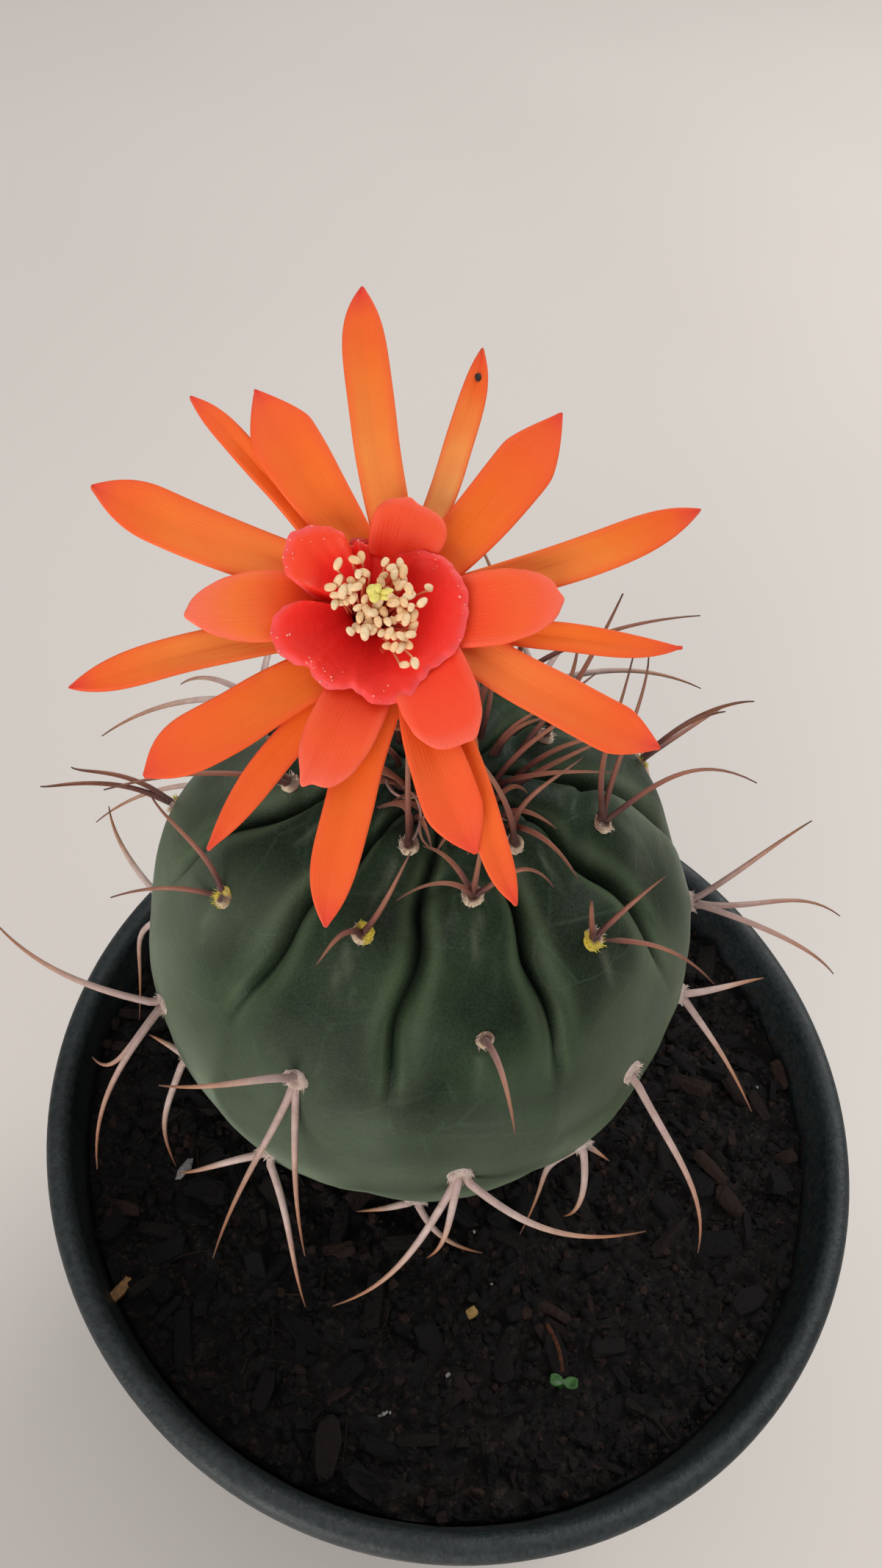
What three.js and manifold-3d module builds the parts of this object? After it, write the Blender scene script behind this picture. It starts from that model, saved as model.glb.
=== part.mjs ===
// Potted Matucana madisoniorum in flower: a ball cactus off-centre in a round plastic pot.
// Millimetres, +Z up. The origin is the middle of the pot's base, and the flower leans to -Y.
import * as THREE from 'three';
import { mergeVertices } from 'three/addons/utils/BufferGeometryUtils.js';
import Module from 'manifold-3d';

const wasm = await Module();
wasm.setup();

// Space left between pieces that rest on or in each other
const SEAT_GAP = 0.3;

// Pot: round, tapered, with a rolled lip and drain holes round the edge of its flat base
const POT_HEIGHT = 115;
const RIM_RADIUS = 75;
const BASE_RADIUS = 54;
const BASE_CHAMFER = 1.5;
const POT_WALL = 1.6;
const POT_FLOOR = 2.2;
const WALL_TOP_RADIUS = 71.2;
const LIP_WIDTH = 4.4;
const LIP_DEPTH = 8;
const LIP_ROUND = 2.2;
const LIP_CHAMFER = 1;
const LIP_TAPER = 0.2;
const LIP_ARC_STEPS = 4;
const FLOOR_FILLET = 1;
const DRAIN_COUNT = 8;
const DRAIN_RADIUS = 4;
const DRAIN_CIRCLE = 42;
const DRAIN_SIDES = 8;
const ROUND_SIDES = 48;

// Potting mix: its level below the rim, its unevenness and its bark chips
const SOIL_BELOW_RIM = 9;
const SOIL_RINGS = 7;
const SOIL_RELIEF = 1.1;
const SOIL_EDGE_DROP = 2;
const SOIL_FOOT_CHAMFER = 1.2;
const SOIL_FOOT_INSET = 1.6;
const CHIP_COUNT = 25;
const CHIP_LENGTH = 9;
const CHIP_THICKNESS = 2.6;
const CHIP_LIFT = 0.5;
const CHIP_TILT = 0.5;
const CHIP_CLEARANCE = 6;
const HOLE_FACET_ALLOWANCE = 0.25;
const HOLE_SIDES = 40;
const HOLE_RINGS = 6;
const HOLE_TOP_HEIGHT = -40;

// Stem: a ball of ten low ribs, its middle measured from the pot's axis
const STEM_RADIUS = 46;
const STEM_X = -13.7;
const STEM_Y = 16.6;
const STEM_Z = 145.7;
const RIB_COUNT = 10;
const FIRST_RIB_TURN = -144;
const CROWN_DIP = 4;
const CROWN_FROM = 66;
const GROOVE_DEPTH = 3.4;
const GROOVE_FROM = 12;
const GROOVE_FULL = 55;
const GROOVE_SHARPNESS = 4.5;
const GROOVE_SWAY = 1;
const SWELL_LOW = 0.7;
const SWELL_HIGH = 2;
const SWELL_FULL = 60;
const SWELL_STARTS = -48;
const SWELL_SET = -30;
const STEM_ACROSS = [-1, -0.84, -0.5, 0, 0.5, 0.84];
const STEM_ROWS = 22;

// Areoles on each rib, as heights in degrees above the stem's middle, from the crown down
const AREOLES = [
  [70, 42, 7.5, -20],
  [71.5, 55, 24.5, -10.5],
  [64.5, 40, 5.5, -22],
  [71, 49.5, 15.5, -10],
  [60, 20, 5.5],
  [70, 35, -4],
  [60, 28, -9],
  [71, 47, 13, -18],
  [60, 26, -10],
  [60.5, 20, -17],
];
// How many degrees some areoles sit to one side of their rib's middle
const AREOLE_SHIFTS = {
  '1/0': 4, '1/1': 2, '1/3': -4, '2/1': 1, '2/2': -1.5, '2/3': -7, '3/0': -8, '3/1': -1,
  '3/3': -7, '4/0': -4, '4/1': 5.5, '4/2': -8.5, '9/0': 11.5, '9/1': -5,
};
const CROWN_AREOLE_HEIGHT = 81;
const AREOLE_RADIUS = 2;
const AREOLE_RISE = 0.9;
const AREOLE_SINK = 1.5;
const AREOLE_SIDES = 6;

// Spines: thickness, and the direction and length of each where the plant is seen well.
// A spine is [turn clockwise from uphill, lift from the skin, length, how far its middle bows
// off the skin, how far it bows to its right, how much more of that is toward its tip].
const SPINE_RADIUS = 0.75;
const SPINE_TIP_RADIUS = 0.22;
const SPINE_SINK = 1.6;
const SPINE_SIDES = 3;
const SPINE_STATIONS = [0, 0.35, 0.7, 1];
const SHORT_SPINE_STATIONS = [0, 0.55, 1];
const SHORT_SPINE_LENGTH = 30;
const SPINES = {
  '0/0': [[-60, 55, 24, 2]],
  '0/1': [[-62, 45, 19, -1.9, -1, -2], [-145, 25, 17.5, -2.4, 1.6, 0.4]],
  '0/2': [
    [-102, 34, 34.5, 2.6, -1, -0.7], [187, 37, 17.5, 2.6, -4, -1.5], [133, 35, 27, 2.8, 0.4, 2.9],
  ],
  '0/3': [[-39, 23, 7.5, -0.7, 1.3, 0], [154, 33, 26, 2.8, -0.7, 2.4]],
  '1/0': [[-83, 68, 11, -0.5, 3.2, -1], [-20, 60, 30, 2]],
  '1/1': [[16, 45, 20, 0.4, 0.5, -0.2], [-151, 31, 8, 1.7, 1.2, -0.6]],
  '1/2': [
    [-91, 41, 19.5, 3.6, 3.7, -1.3], [179, 31, 28, -4.3, 1.2, 0.9],
    [155, 13, 27.5, -2.3, 2.2, 0.6],
  ],
  '1/3': [[-133, 27, 20, 1, 1.2, -0.6], [138, 32, 28.5, 0.4, -1.6, 1.8]],
  '2/0': [
    [-93, 39, 15.5, 3, 1.4, 1.2], [-53, 46, 14.5, -1.2, 1.6, -0.3],
    [96, 59, 15.5, 0, -2.5, -1.8], [-20, 71, 23, 0.9, -0.3, 0.3],
  ],
  '2/1': [[173, 55, 14.5, 3.4, -0.2, 0]],
  '2/2': [
    [-143, 15, 33, 2.6, -1.3, -1.5], [-163, 22, 17, 2.3, 0, -0.8], [112, 12, 33.5, 2.2, 4, 1.5],
  ],
  '2/3': [[-126, 11, 12, 0.3, -0.5, -1.7], [135, 28, 21, 1.4, 1.7, 0.7]],
  '3/0': [[62, 59, 17.5, 1.3, -2.5, 1.1], [-42, 55, 32, 2]],
  '3/1': [
    [-32, 47, 22, -0.4, 0.8, 0.3], [147, 34, 18, -5.7, -3.4, -0.9], [63, 41, 14, -1, 0.5, 0],
  ],
  '3/2': [[189, 32, 33.5, 3.8, 0, -2]],
  '3/3': [
    [198, 27, 17, 3, 1.5, 0.2], [143, 31, 9.5, -1, 0.2, 0.1], [-158, 13, 27, -2.9, -2.1, -5.6],
  ],
  '4/0': [
    [-18, 52, 45, -1.5, -0.4, -3], [33, 53, 28.5, 0, 0.2, 3], [147, 41, 23.5, 2.2, -3.6, -1.5],
  ],
  '4/1': [
    [14, 52, 25.5, 1, 1.2, 0.5], [161, 50, 33, 1.5, -1, -2.6], [193, 48, 30.5, 4.8, 3.4, -0.2],
  ],
  '4/2': [[115, 50, 18, 0.7, -0.4, -0.5], [192, 36, 31, -1.2, -3.4, -1.1]],
  '5/0': [[-26, 55, 34, 2], [-30, 62, 42, 2]],
  '5/1': [[-29, 36, 26, 3.2, 0.9, -0.5], [-31, 37, 32, 4.4, 1.1, -0.7], [158, 40, 26, 2]],
  '5/2': [[100, 32, 38, 4], [-150, 30, 26, 2]],
  '9/0': [[-99, 48, 8.5, 0, -0.4, 0.4], [140, 52, 30, 2]],
  '9/1': [[36, 40, 26, 3.7, -0.7, 1.5], [46, 39, 30.5, 4.9, 0.4, 1.7], [-152, 27, 21, 2]],
  '9/2': [[-25, 20, 23.5, 5.9, -4.8, 0], [147, 25, 25.5, 6.1, 5, 5.3]],
};
const HIDDEN_SPINE_TURNS = [-115, 118, 176];
const HIDDEN_SPINE_LIFT = [24, 44];
const HIDDEN_UPPER_FROM = 45;
const HIDDEN_UPPER_LIFT = 12;
const HIDDEN_SPINE_BOW = 3;
const HIDDEN_SPINE_LENGTH = 28;
const CROWN_SPINE_LENGTH = 30;
const CROWN_SPINE_LIFT = 68;
const CROWN_SPINE_LIFT_UNDER_FLOWER = 52;

// Flower: the middle of its mouth, the way it faces and the run of its tube
const MOUTH = new THREE.Vector3(-23.7, -14.9, 252.9);
const FACE_HEIGHT = 57;
const FACE_TURN = -80;
const TUBE_FOOT_SINK = 1.6;
const TUBE_PULL = 24;
const TUBE_SIDES = 16;
const TUBE_RADII = [3, 4.3, 4.1, 3.6, 3.7, 4, 4.4, 4.9, 5.4, 6];
const TUBE_RIM_RADIUS = 7.2;
const THROAT_RADIUS = 4.3;
const THROAT_MOUTH_RADIUS = 5.7;
const THROAT_DEPTH = 11;
const THROAT_FLOOR = 1.5;
const MOUTH_FOOT_RADIUS = 5.6;
const MOUTH_MIDDLE_RADIUS = 6;
const MOUTH_RIM_HEIGHT = 2;
const MOUTH_EDGE_WIDTH = 0.5;
const MOUTH_EDGE_HEIGHT = 0.4;
const SCALE_COUNT = 9;
const SCALE_LENGTH = 7;
const SCALE_WIDTH = 3;
const SCALE_LEAN = 3;
const SCALE_SINK = 0.9;
const SCALE_TURN = 2.4;

// Tepals are [turn of the tip clockwise from the top of the face, its reach from the mouth's
// middle, turn of the root, width]
const TEPAL_THICKNESS = 0.65;
const OUTER_TEPALS = [
  [-4.5, 29.8, 32, 4.6],
  [20, 26.7, 41, 3],
  [41, 25.5, 57, 6],
  [69.6, 32.4, 76, 4.3],
  [93.5, 29.2, 87, 3],
  [112.8, 29.4, 93, 5.2],
  [151.3, 30.1, 106, 3.3],
  [154.6, 24.2, 133, 5.7],
  [185.5, 29.1, 148, 4.9],
  [211, 26.3, 188, 3.3],
  [229.7, 25.3, 201, 5.4],
  [251.6, 27.8, 251, 3.6],
  [290.2, 27.1, 300, 5.3],
  [316.6, 25.1, 320, 2.8],
  [329.1, 22.3, 351, 6.4],
];
const INNER_TEPALS = [
  [20, 10.6, 26, 6.6],
  [85, 16.8, 94, 6.6],
  [147, 14.8, 130, 6.8],
  [195, 17, 184, 6.2],
  [263, 16.2, 265, 6.4],
];
const LOBES = [
  [301, 9, 302, 6],
  [240, 10, 244, 6],
  [206, 8.6, 207, 5.2],
  [170, 9.6, 166, 5.6],
  [91, 8.6, 88, 6.6],
  [45, 7.4, 45, 4.6],
  [350, 7, 350, 4.6],
];

// Stamens and pistil, in the mouth's own frame with heights above the mouth
const STAMEN_ROWS = [
  { count: 12, root: 1.5, reach: 2.9 },
  { count: 20, root: 2.3, reach: 4.1 },
];
const STAMEN_RING_INNER = 1;
const STAMEN_RING_OUTER = 2.8;
const FUNNEL_WALL = 0.8;
const FUNNEL_RISE = 1.7;
const FILAMENT_RADIUS = 0.34;
const ANTHER_RADIUS = 0.75;
const ANTHER_LENGTH = 2;
const ANTHER_STRAY = 0.9;
const ANTHER_HEIGHT = 4.4;
const STYLE_RADIUS = 0.5;
const STYLE_TOP = 6.4;
const STIGMA_LOBES = 4;

// Seedling in the potting mix
const SEEDLING_X = 25;
const SEEDLING_Y = -45;
const SEEDLING_STALK_RADIUS = 0.5;
const SEEDLING_HEIGHT = 4;
const SEEDLING_LEAF_LENGTH = 2.2;
const SEEDLING_LEAF_WIDTH = 2;

const SOIL_TOP = POT_HEIGHT - SOIL_BELOW_RIM;
const STEM_CENTRE = new THREE.Vector3(STEM_X, STEM_Y, STEM_Z);
const UP = new THREE.Vector3(0, 0, 1);

// A repeatable draw between 0 and 1 for a whole number
function draw(seed) {
  const value = Math.sin(seed * 12.9898 + 4.1414) * 43758.5453;
  return value - Math.floor(value);
}

function lerp(from, to, part) {
  return from + (to - from) * part;
}

function smooth(from, to, value) {
  const part = Math.min(1, Math.max(0, (value - from) / (to - from)));
  return part * part * (3 - 2 * part);
}

function vector(x, y, z) {
  return new THREE.Vector3(x, y, z);
}

// Solid from a closed geometry
function solidOf(geometry) {
  const bare = geometry.clone();
  bare.deleteAttribute('normal');
  bare.deleteAttribute('uv');
  const merged = mergeVertices(bare, 1e-4);
  return new wasm.Manifold(new wasm.Mesh({
    numProp: 3,
    vertProperties: new Float32Array(merged.attributes.position.array),
    triVerts: new Uint32Array(merged.index.array),
  }));
}

// Closed skin over rings of points that all have the same count, with a point at each end.
// From ring point `flipFrom` on, the quads are split the other way, as a blade's back needs.
function skinGeometry(start, rings, end, flipFrom = Infinity) {
  const count = rings[0].length;
  const points = [start, ...rings.flat(), end];
  const last = points.length - 1;
  const faces = [];
  const at = (ring, k) => 1 + ring * count + (k % count);
  for (let k = 0; k < count; k += 1) {
    faces.push([0, at(0, k + 1), at(0, k)]);
    for (let ring = 0; ring < rings.length - 1; ring += 1) {
      const quad = [at(ring, k), at(ring, k + 1), at(ring + 1, k + 1), at(ring + 1, k)];
      if (k < flipFrom) {
        faces.push([quad[0], quad[1], quad[2]], [quad[0], quad[2], quad[3]]);
      } else {
        faces.push([quad[0], quad[1], quad[3]], [quad[1], quad[2], quad[3]]);
      }
    }
    faces.push([last, at(rings.length - 1, k), at(rings.length - 1, k + 1)]);
  }
  let volume = 0;
  for (const [a, b, c] of faces) {
    volume += points[a].dot(points[b].clone().cross(points[c]));
  }
  const index = volume < 0 ? faces.map(([a, b, c]) => [a, c, b]).flat() : faces.flat();
  const geometry = new THREE.BufferGeometry();
  const position = new Float32Array(points.flatMap((point) => point.toArray()));
  geometry.setAttribute('position', new THREE.BufferAttribute(position, 3));
  geometry.setIndex(index);
  return geometry;
}

function skin(start, rings, end, flipFrom) {
  return solidOf(skinGeometry(start, rings, end, flipFrom));
}

function fuse(solids) {
  return solids.reduce((whole, solid) => whole.add(solid));
}

function lathe(profile, sides = ROUND_SIDES) {
  const points = profile.map(([radius, height]) => new THREE.Vector2(radius, height));
  const geometry = new THREE.LatheGeometry(points, sides);
  geometry.rotateX(Math.PI / 2);
  return geometry;
}

// Ring of points round a centre, in the plane of two unit directions
function ringAt(centre, side, ahead, radius, sides) {
  const ring = [];
  for (let k = 0; k < sides; k += 1) {
    const angle = (2 * Math.PI * k) / sides;
    const reach = side.clone().multiplyScalar(radius * Math.cos(angle));
    ring.push(reach.addScaledVector(ahead, radius * Math.sin(angle)).add(centre));
  }
  return ring;
}

// Two unit directions square to a third, the second of them as near as can be to a guide.
// Rings along a path hand that one on, so that the path's skin has no twist in it.
function squareTo(direction, guide = Math.abs(direction.z) > 0.9 ? vector(1, 0, 0) : UP) {
  const side = guide.clone().cross(direction).normalize();
  return [side, direction.clone().cross(side).normalize()];
}

// Tapered rod along a list of points, with one radius for each point
function rod(points, radii, sides) {
  let guide;
  const rings = points.map((point, k) => {
    const before = points[Math.max(0, k - 1)];
    const after = points[Math.min(points.length - 1, k + 1)];
    const [side, ahead] = squareTo(after.clone().sub(before).normalize(), guide);
    guide = ahead;
    return ringAt(point, side, ahead, radii[k], sides);
  });
  return skin(points[0], rings, points[points.length - 1]);
}

// Pot: one turned plastic shell, with drain holes cut through its base
function potInnerRadius(height) {
  return lerp(BASE_RADIUS, WALL_TOP_RADIUS, height / (POT_HEIGHT - LIP_DEPTH)) - POT_WALL;
}

function makePot() {
  const lipFoot = POT_HEIGHT - LIP_DEPTH;
  const profile = [
    [0, 0],
    [BASE_RADIUS - BASE_CHAMFER, 0],
    [BASE_RADIUS, BASE_CHAMFER],
    [WALL_TOP_RADIUS, lipFoot],
    [RIM_RADIUS - LIP_CHAMFER, lipFoot],
    [RIM_RADIUS - LIP_TAPER, lipFoot + LIP_CHAMFER + LIP_TAPER],
  ];
  for (let k = 0; k <= LIP_ARC_STEPS; k += 1) {
    const angle = (Math.PI * k) / LIP_ARC_STEPS;
    profile.push([
      RIM_RADIUS - LIP_WIDTH / 2 + (LIP_WIDTH / 2) * Math.cos(angle),
      POT_HEIGHT - LIP_ROUND + LIP_ROUND * Math.sin(angle),
    ]);
  }
  profile.push([potInnerRadius(lipFoot), lipFoot]);
  profile.push([potInnerRadius(POT_FLOOR + FLOOR_FILLET), POT_FLOOR + FLOOR_FILLET]);
  profile.push([potInnerRadius(POT_FLOOR) - FLOOR_FILLET, POT_FLOOR]);
  profile.push([0, POT_FLOOR]);
  let pot = solidOf(lathe(profile));
  for (let k = 0; k < DRAIN_COUNT; k += 1) {
    const angle = (2 * Math.PI * (k + 0.5)) / DRAIN_COUNT;
    const drill = new THREE.CylinderGeometry(DRAIN_RADIUS, DRAIN_RADIUS, 4 * POT_FLOOR, DRAIN_SIDES);
    drill.rotateX(Math.PI / 2);
    drill.translate(DRAIN_CIRCLE * Math.cos(angle), DRAIN_CIRCLE * Math.sin(angle), POT_FLOOR / 2);
    pot = pot.subtract(solidOf(drill));
  }
  return pot;
}

// Potting mix: fills the pot, uneven on top, with bark chips half sunk in it
function soilHeight(x, y) {
  const slow = Math.sin(x * 0.11 + 1.3) * Math.cos(y * 0.13 - 0.4);
  const quick = Math.sin(x * 0.37 + y * 0.21) * Math.sin(y * 0.43 - x * 0.16 + 2);
  const crumbs = Math.sin(x * 0.83 + 2 * Math.sin(y * 0.31)) * Math.sin(y * 0.71 - x * 0.52);
  return SOIL_TOP + SOIL_RELIEF * (0.5 * slow + 0.4 * quick + 0.5 * crumbs);
}

function makeSoilBody() {
  const rings = [];
  const side = vector(1, 0, 0);
  const ahead = vector(0, 1, 0);
  const floor = POT_FLOOR + SEAT_GAP;
  const low = floor + SOIL_FOOT_CHAMFER;
  const footRadius = potInnerRadius(floor) - SOIL_FOOT_INSET;
  rings.push(ringAt(vector(0, 0, floor), side, ahead, footRadius, ROUND_SIDES));
  rings.push(ringAt(vector(0, 0, low), side, ahead, potInnerRadius(low) - SEAT_GAP, ROUND_SIDES));
  const edge = SOIL_TOP - SOIL_EDGE_DROP;
  const edgeRadius = potInnerRadius(edge) - SEAT_GAP;
  rings.push(ringAt(vector(0, 0, edge), side, ahead, edgeRadius, ROUND_SIDES));
  for (let k = 0; k < SOIL_RINGS; k += 1) {
    const radius = edgeRadius * (1 - k / SOIL_RINGS) - (k === 0 ? 1 : 0);
    const ring = ringAt(vector(0, 0, 0), side, ahead, radius, ROUND_SIDES);
    rings.push(ring.map((point) => vector(point.x, point.y, soilHeight(point.x, point.y))));
  }
  return skin(vector(0, 0, floor), rings, vector(0, 0, soilHeight(0, 0)));
}

function makeChip(seed) {
  const radius = Math.sqrt(draw(seed)) * (potInnerRadius(SOIL_TOP) - CHIP_CLEARANCE);
  const angle = 2 * Math.PI * draw(seed + 0.1);
  const length = CHIP_LENGTH * lerp(0.5, 1, draw(seed + 0.2));
  const width = length * lerp(0.35, 0.6, draw(seed + 0.3));
  const chip = new THREE.BoxGeometry(length, width, CHIP_THICKNESS);
  chip.rotateX(CHIP_TILT * (draw(seed + 0.4) - 0.5));
  chip.rotateY(CHIP_TILT * (draw(seed + 0.5) - 0.5));
  chip.rotateZ(Math.PI * draw(seed + 0.6));
  const x = radius * Math.cos(angle);
  const y = radius * Math.sin(angle);
  chip.translate(x, y, soilHeight(x, y) + CHIP_LIFT);
  return solidOf(chip);
}

// Plain round space in the potting mix for the buried end of the stem
function makeStemHole() {
  const radius = STEM_RADIUS + SEAT_GAP + HOLE_FACET_ALLOWANCE;
  const profile = [[0, -radius]];
  for (let k = 1; k <= HOLE_RINGS; k += 1) {
    const height = THREE.MathUtils.degToRad(lerp(-90, HOLE_TOP_HEIGHT, k / HOLE_RINGS));
    profile.push([radius * Math.cos(height), radius * Math.sin(height)]);
  }
  profile.push([0, profile[HOLE_RINGS][1]]);
  const hole = lathe(profile, HOLE_SIDES);
  hole.translate(STEM_X, STEM_Y, STEM_Z);
  return solidOf(hole);
}

function makeSeedlingHole() {
  const top = soilHeight(SEEDLING_X, SEEDLING_Y);
  const foot = vector(SEEDLING_X, SEEDLING_Y, top - SEEDLING_HEIGHT);
  const head = vector(SEEDLING_X, SEEDLING_Y, top + CHIP_LENGTH);
  const radius = SEEDLING_STALK_RADIUS + SEAT_GAP;
  return rod([foot, head], [radius, radius], 8);
}

function makeSoil() {
  const parts = [makeSoilBody()];
  for (let k = 0; k < CHIP_COUNT; k += 1) {
    parts.push(makeChip(k + 1));
  }
  return fuse(parts).subtract(makeStemHole()).subtract(makeSeedlingHole());
}

// Stem: ribs parted by grooves that are sharp above and fade out low down
function ribTurn(rib) {
  return FIRST_RIB_TURN + (360 / RIB_COUNT) * rib;
}

function swellAt(rib, height) {
  const list = AREOLES[(rib + RIB_COUNT) % RIB_COUNT];
  const marks = [CROWN_AREOLE_HEIGHT + 7, ...list, list[list.length - 1] - 45];
  for (let k = 0; k < marks.length - 1; k += 1) {
    if (height <= marks[k] && height > marks[k + 1]) {
      return Math.cos((2 * Math.PI * (marks[k] - height)) / (marks[k] - marks[k + 1]));
    }
  }
  return height > 0 ? 1 : -1;
}

function grooveStrength(height) {
  return smooth(GROOVE_FROM, GROOVE_FULL, height);
}

function grooveTurn(rib, height) {
  const sway = GROOVE_SWAY * grooveStrength(height) * smooth(86, 76, height);
  return ribTurn(rib) + 180 / RIB_COUNT + sway * (swellAt(rib, height) - swellAt(rib + 1, height));
}

function stemDirection(turn, height) {
  const turnRad = THREE.MathUtils.degToRad(turn);
  const heightRad = THREE.MathUtils.degToRad(height);
  return vector(
    Math.cos(heightRad) * Math.cos(turnRad),
    Math.cos(heightRad) * Math.sin(turnRad),
    Math.sin(heightRad),
  );
}

function stemPoint(rib, across, height) {
  const middle = ribTurn(rib);
  const groove = across > 0 ? grooveTurn(rib, height) : grooveTurn(rib - 1, height);
  const turn = lerp(middle, groove, Math.abs(across));
  const halfRib = (STEM_RADIUS * Math.cos(THREE.MathUtils.degToRad(height)) * Math.PI) / RIB_COUNT;
  const depth = Math.min(GROOVE_DEPTH * grooveStrength(height), 0.5 * halfRib);
  const swell = lerp(SWELL_LOW, SWELL_HIGH, smooth(0, SWELL_FULL, height))
    * smooth(SWELL_STARTS, SWELL_SET, height);
  const crown = smooth(CROWN_FROM, 90, height);
  let radius = STEM_RADIUS - CROWN_DIP * crown * crown;
  radius += 0.5 * swell * (1 - crown) * (1 + swellAt(rib, height)) * (1 - across * across);
  radius -= depth * Math.abs(across) ** GROOVE_SHARPNESS;
  return stemDirection(turn, height).multiplyScalar(radius).add(STEM_CENTRE);
}

function makeStemBody() {
  const rings = [];
  for (let row = 1; row < STEM_ROWS; row += 1) {
    const height = 90 - (180 * row) / STEM_ROWS;
    const ring = [];
    for (let rib = 0; rib < RIB_COUNT; rib += 1) {
      for (const across of STEM_ACROSS) {
        ring.push(stemPoint(rib, across, height));
      }
    }
    rings.push(ring);
  }
  const top = vector(STEM_X, STEM_Y, STEM_Z + STEM_RADIUS - CROWN_DIP);
  const bottom = vector(STEM_X, STEM_Y, STEM_Z - STEM_RADIUS);
  return skin(top, rings, bottom);
}

// Areole: a low woolly cushion that the spines stand in
function makeAreole(point, outward) {
  const [side, ahead] = squareTo(outward);
  const foot = point.clone().addScaledVector(outward, -AREOLE_SINK);
  const shoulder = point.clone().addScaledVector(outward, 0.35 * AREOLE_RISE);
  const top = point.clone().addScaledVector(outward, AREOLE_RISE);
  const rings = [
    ringAt(foot, side, ahead, AREOLE_RADIUS, AREOLE_SIDES),
    ringAt(shoulder, side, ahead, AREOLE_RADIUS, AREOLE_SIDES),
  ];
  return skin(foot, rings, top);
}

// Spine: a slender curved thorn. Its bow is how far its middle stands out from its chord.
function makeSpine(point, outward, [turn, lift, length, bow, sideBow = 0, lateBow = 0]) {
  const uphill = UP.clone().addScaledVector(outward, -outward.z).normalize();
  const right = uphill.clone().cross(outward);
  const turnRad = THREE.MathUtils.degToRad(turn);
  const liftRad = THREE.MathUtils.degToRad(lift);
  const along = uphill.multiplyScalar(Math.cos(turnRad)).addScaledVector(right, Math.sin(turnRad));
  const chord = along.multiplyScalar(Math.cos(liftRad)).addScaledVector(outward, Math.sin(liftRad));
  const bowWay = outward.clone().addScaledVector(chord, -outward.dot(chord)).normalize();
  const sideWay = chord.clone().cross(bowWay);
  const stations = length < SHORT_SPINE_LENGTH ? SHORT_SPINE_STATIONS : SPINE_STATIONS;
  const points = stations.map((part) => point.clone()
    .addScaledVector(chord, part * length)
    .addScaledVector(bowWay, 4 * part * (1 - part) * bow)
    .addScaledVector(sideWay, 4 * part * (1 - part) * (sideBow + lateBow * (2 * part - 1))));
  points[0].addScaledVector(outward, -SPINE_SINK);
  const radii = stations.map((part) => lerp(SPINE_RADIUS, SPINE_TIP_RADIUS, part * part));
  return rod(points, radii, SPINE_SIDES);
}

// Spines of an areole out of sight: a few that fan out, drawn for that areole
function drawnSpines(rib, height) {
  const seed = rib * 17 + height;
  const upper = height > HIDDEN_UPPER_FROM;
  return HIDDEN_SPINE_TURNS.map((middle, k) => {
    const fan = middle + 24 * (draw(seed + k) - 0.5);
    const lift = lerp(...HIDDEN_SPINE_LIFT, draw(seed + k + 40)) + (upper ? HIDDEN_UPPER_LIFT : 0);
    const length = HIDDEN_SPINE_LENGTH * lerp(0.75, 1.2, draw(seed + k + 80));
    const last = k === HIDDEN_SPINE_TURNS.length - 1;
    return [upper && last ? 6 : fan, lift, length, HIDDEN_SPINE_BOW];
  });
}

function makeStem() {
  const parts = [makeStemBody()];
  for (let rib = 0; rib < RIB_COUNT; rib += 1) {
    AREOLES[rib].forEach((height, k) => {
      const shift = AREOLE_SHIFTS[`${rib}/${k}`] ?? 0;
      const point = stemPoint(rib, (shift * RIB_COUNT) / 180, height);
      const outward = stemDirection(ribTurn(rib) + shift, height);
      parts.push(makeAreole(point, outward));
      const spines = SPINES[`${rib}/${k}`] ?? drawnSpines(rib, height);
      for (const spine of spines) {
        parts.push(makeSpine(point, outward, spine));
      }
    });
    if (rib % 2 === 0) {
      const point = stemPoint(rib, 0, CROWN_AREOLE_HEIGHT);
      const outward = stemDirection(ribTurn(rib), CROWN_AREOLE_HEIGHT);
      const underFlower = outward.y < -0.05;
      const lift = underFlower ? CROWN_SPINE_LIFT_UNDER_FLOWER : CROWN_SPINE_LIFT;
      const length = CROWN_SPINE_LENGTH * lerp(0.7, 1.1, draw(rib + 7));
      const turn = 180 + 30 * (draw(rib + 3) - 0.5);
      parts.push(makeSpine(point, outward, [turn, lift, length, 2]));
    }
  }
  return fuse(parts).subtract(makeTube(SEAT_GAP));
}

// The mouth's frame: x to the right and y uphill across its face, z the way it faces
function mouthFrame() {
  const ahead = stemDirection(FACE_TURN, FACE_HEIGHT);
  const uphill = UP.clone().addScaledVector(ahead, -ahead.z).normalize();
  const right = uphill.clone().cross(ahead);
  const frame = new THREE.Matrix4().makeBasis(right, uphill, ahead);
  return frame.setPosition(MOUTH);
}

const FRAME = mouthFrame();

function inMouth(x, y, z) {
  return vector(x, y, z).applyMatrix4(FRAME);
}

// Flower tube: rises from the crown and bends over to face -Y. With a swelling it is the
// space that the tube needs in the crown.
function tubeCurve() {
  const foot = vector(STEM_X, STEM_Y, STEM_Z + STEM_RADIUS - CROWN_DIP - TUBE_FOOT_SINK);
  const neck = inMouth(0, 0, -THROAT_DEPTH);
  const rise = foot.clone().addScaledVector(UP, TUBE_PULL);
  const lean = inMouth(0, 0, -THROAT_DEPTH - TUBE_PULL);
  return new THREE.CubicBezierCurve3(foot, rise, lean, neck);
}

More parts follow.
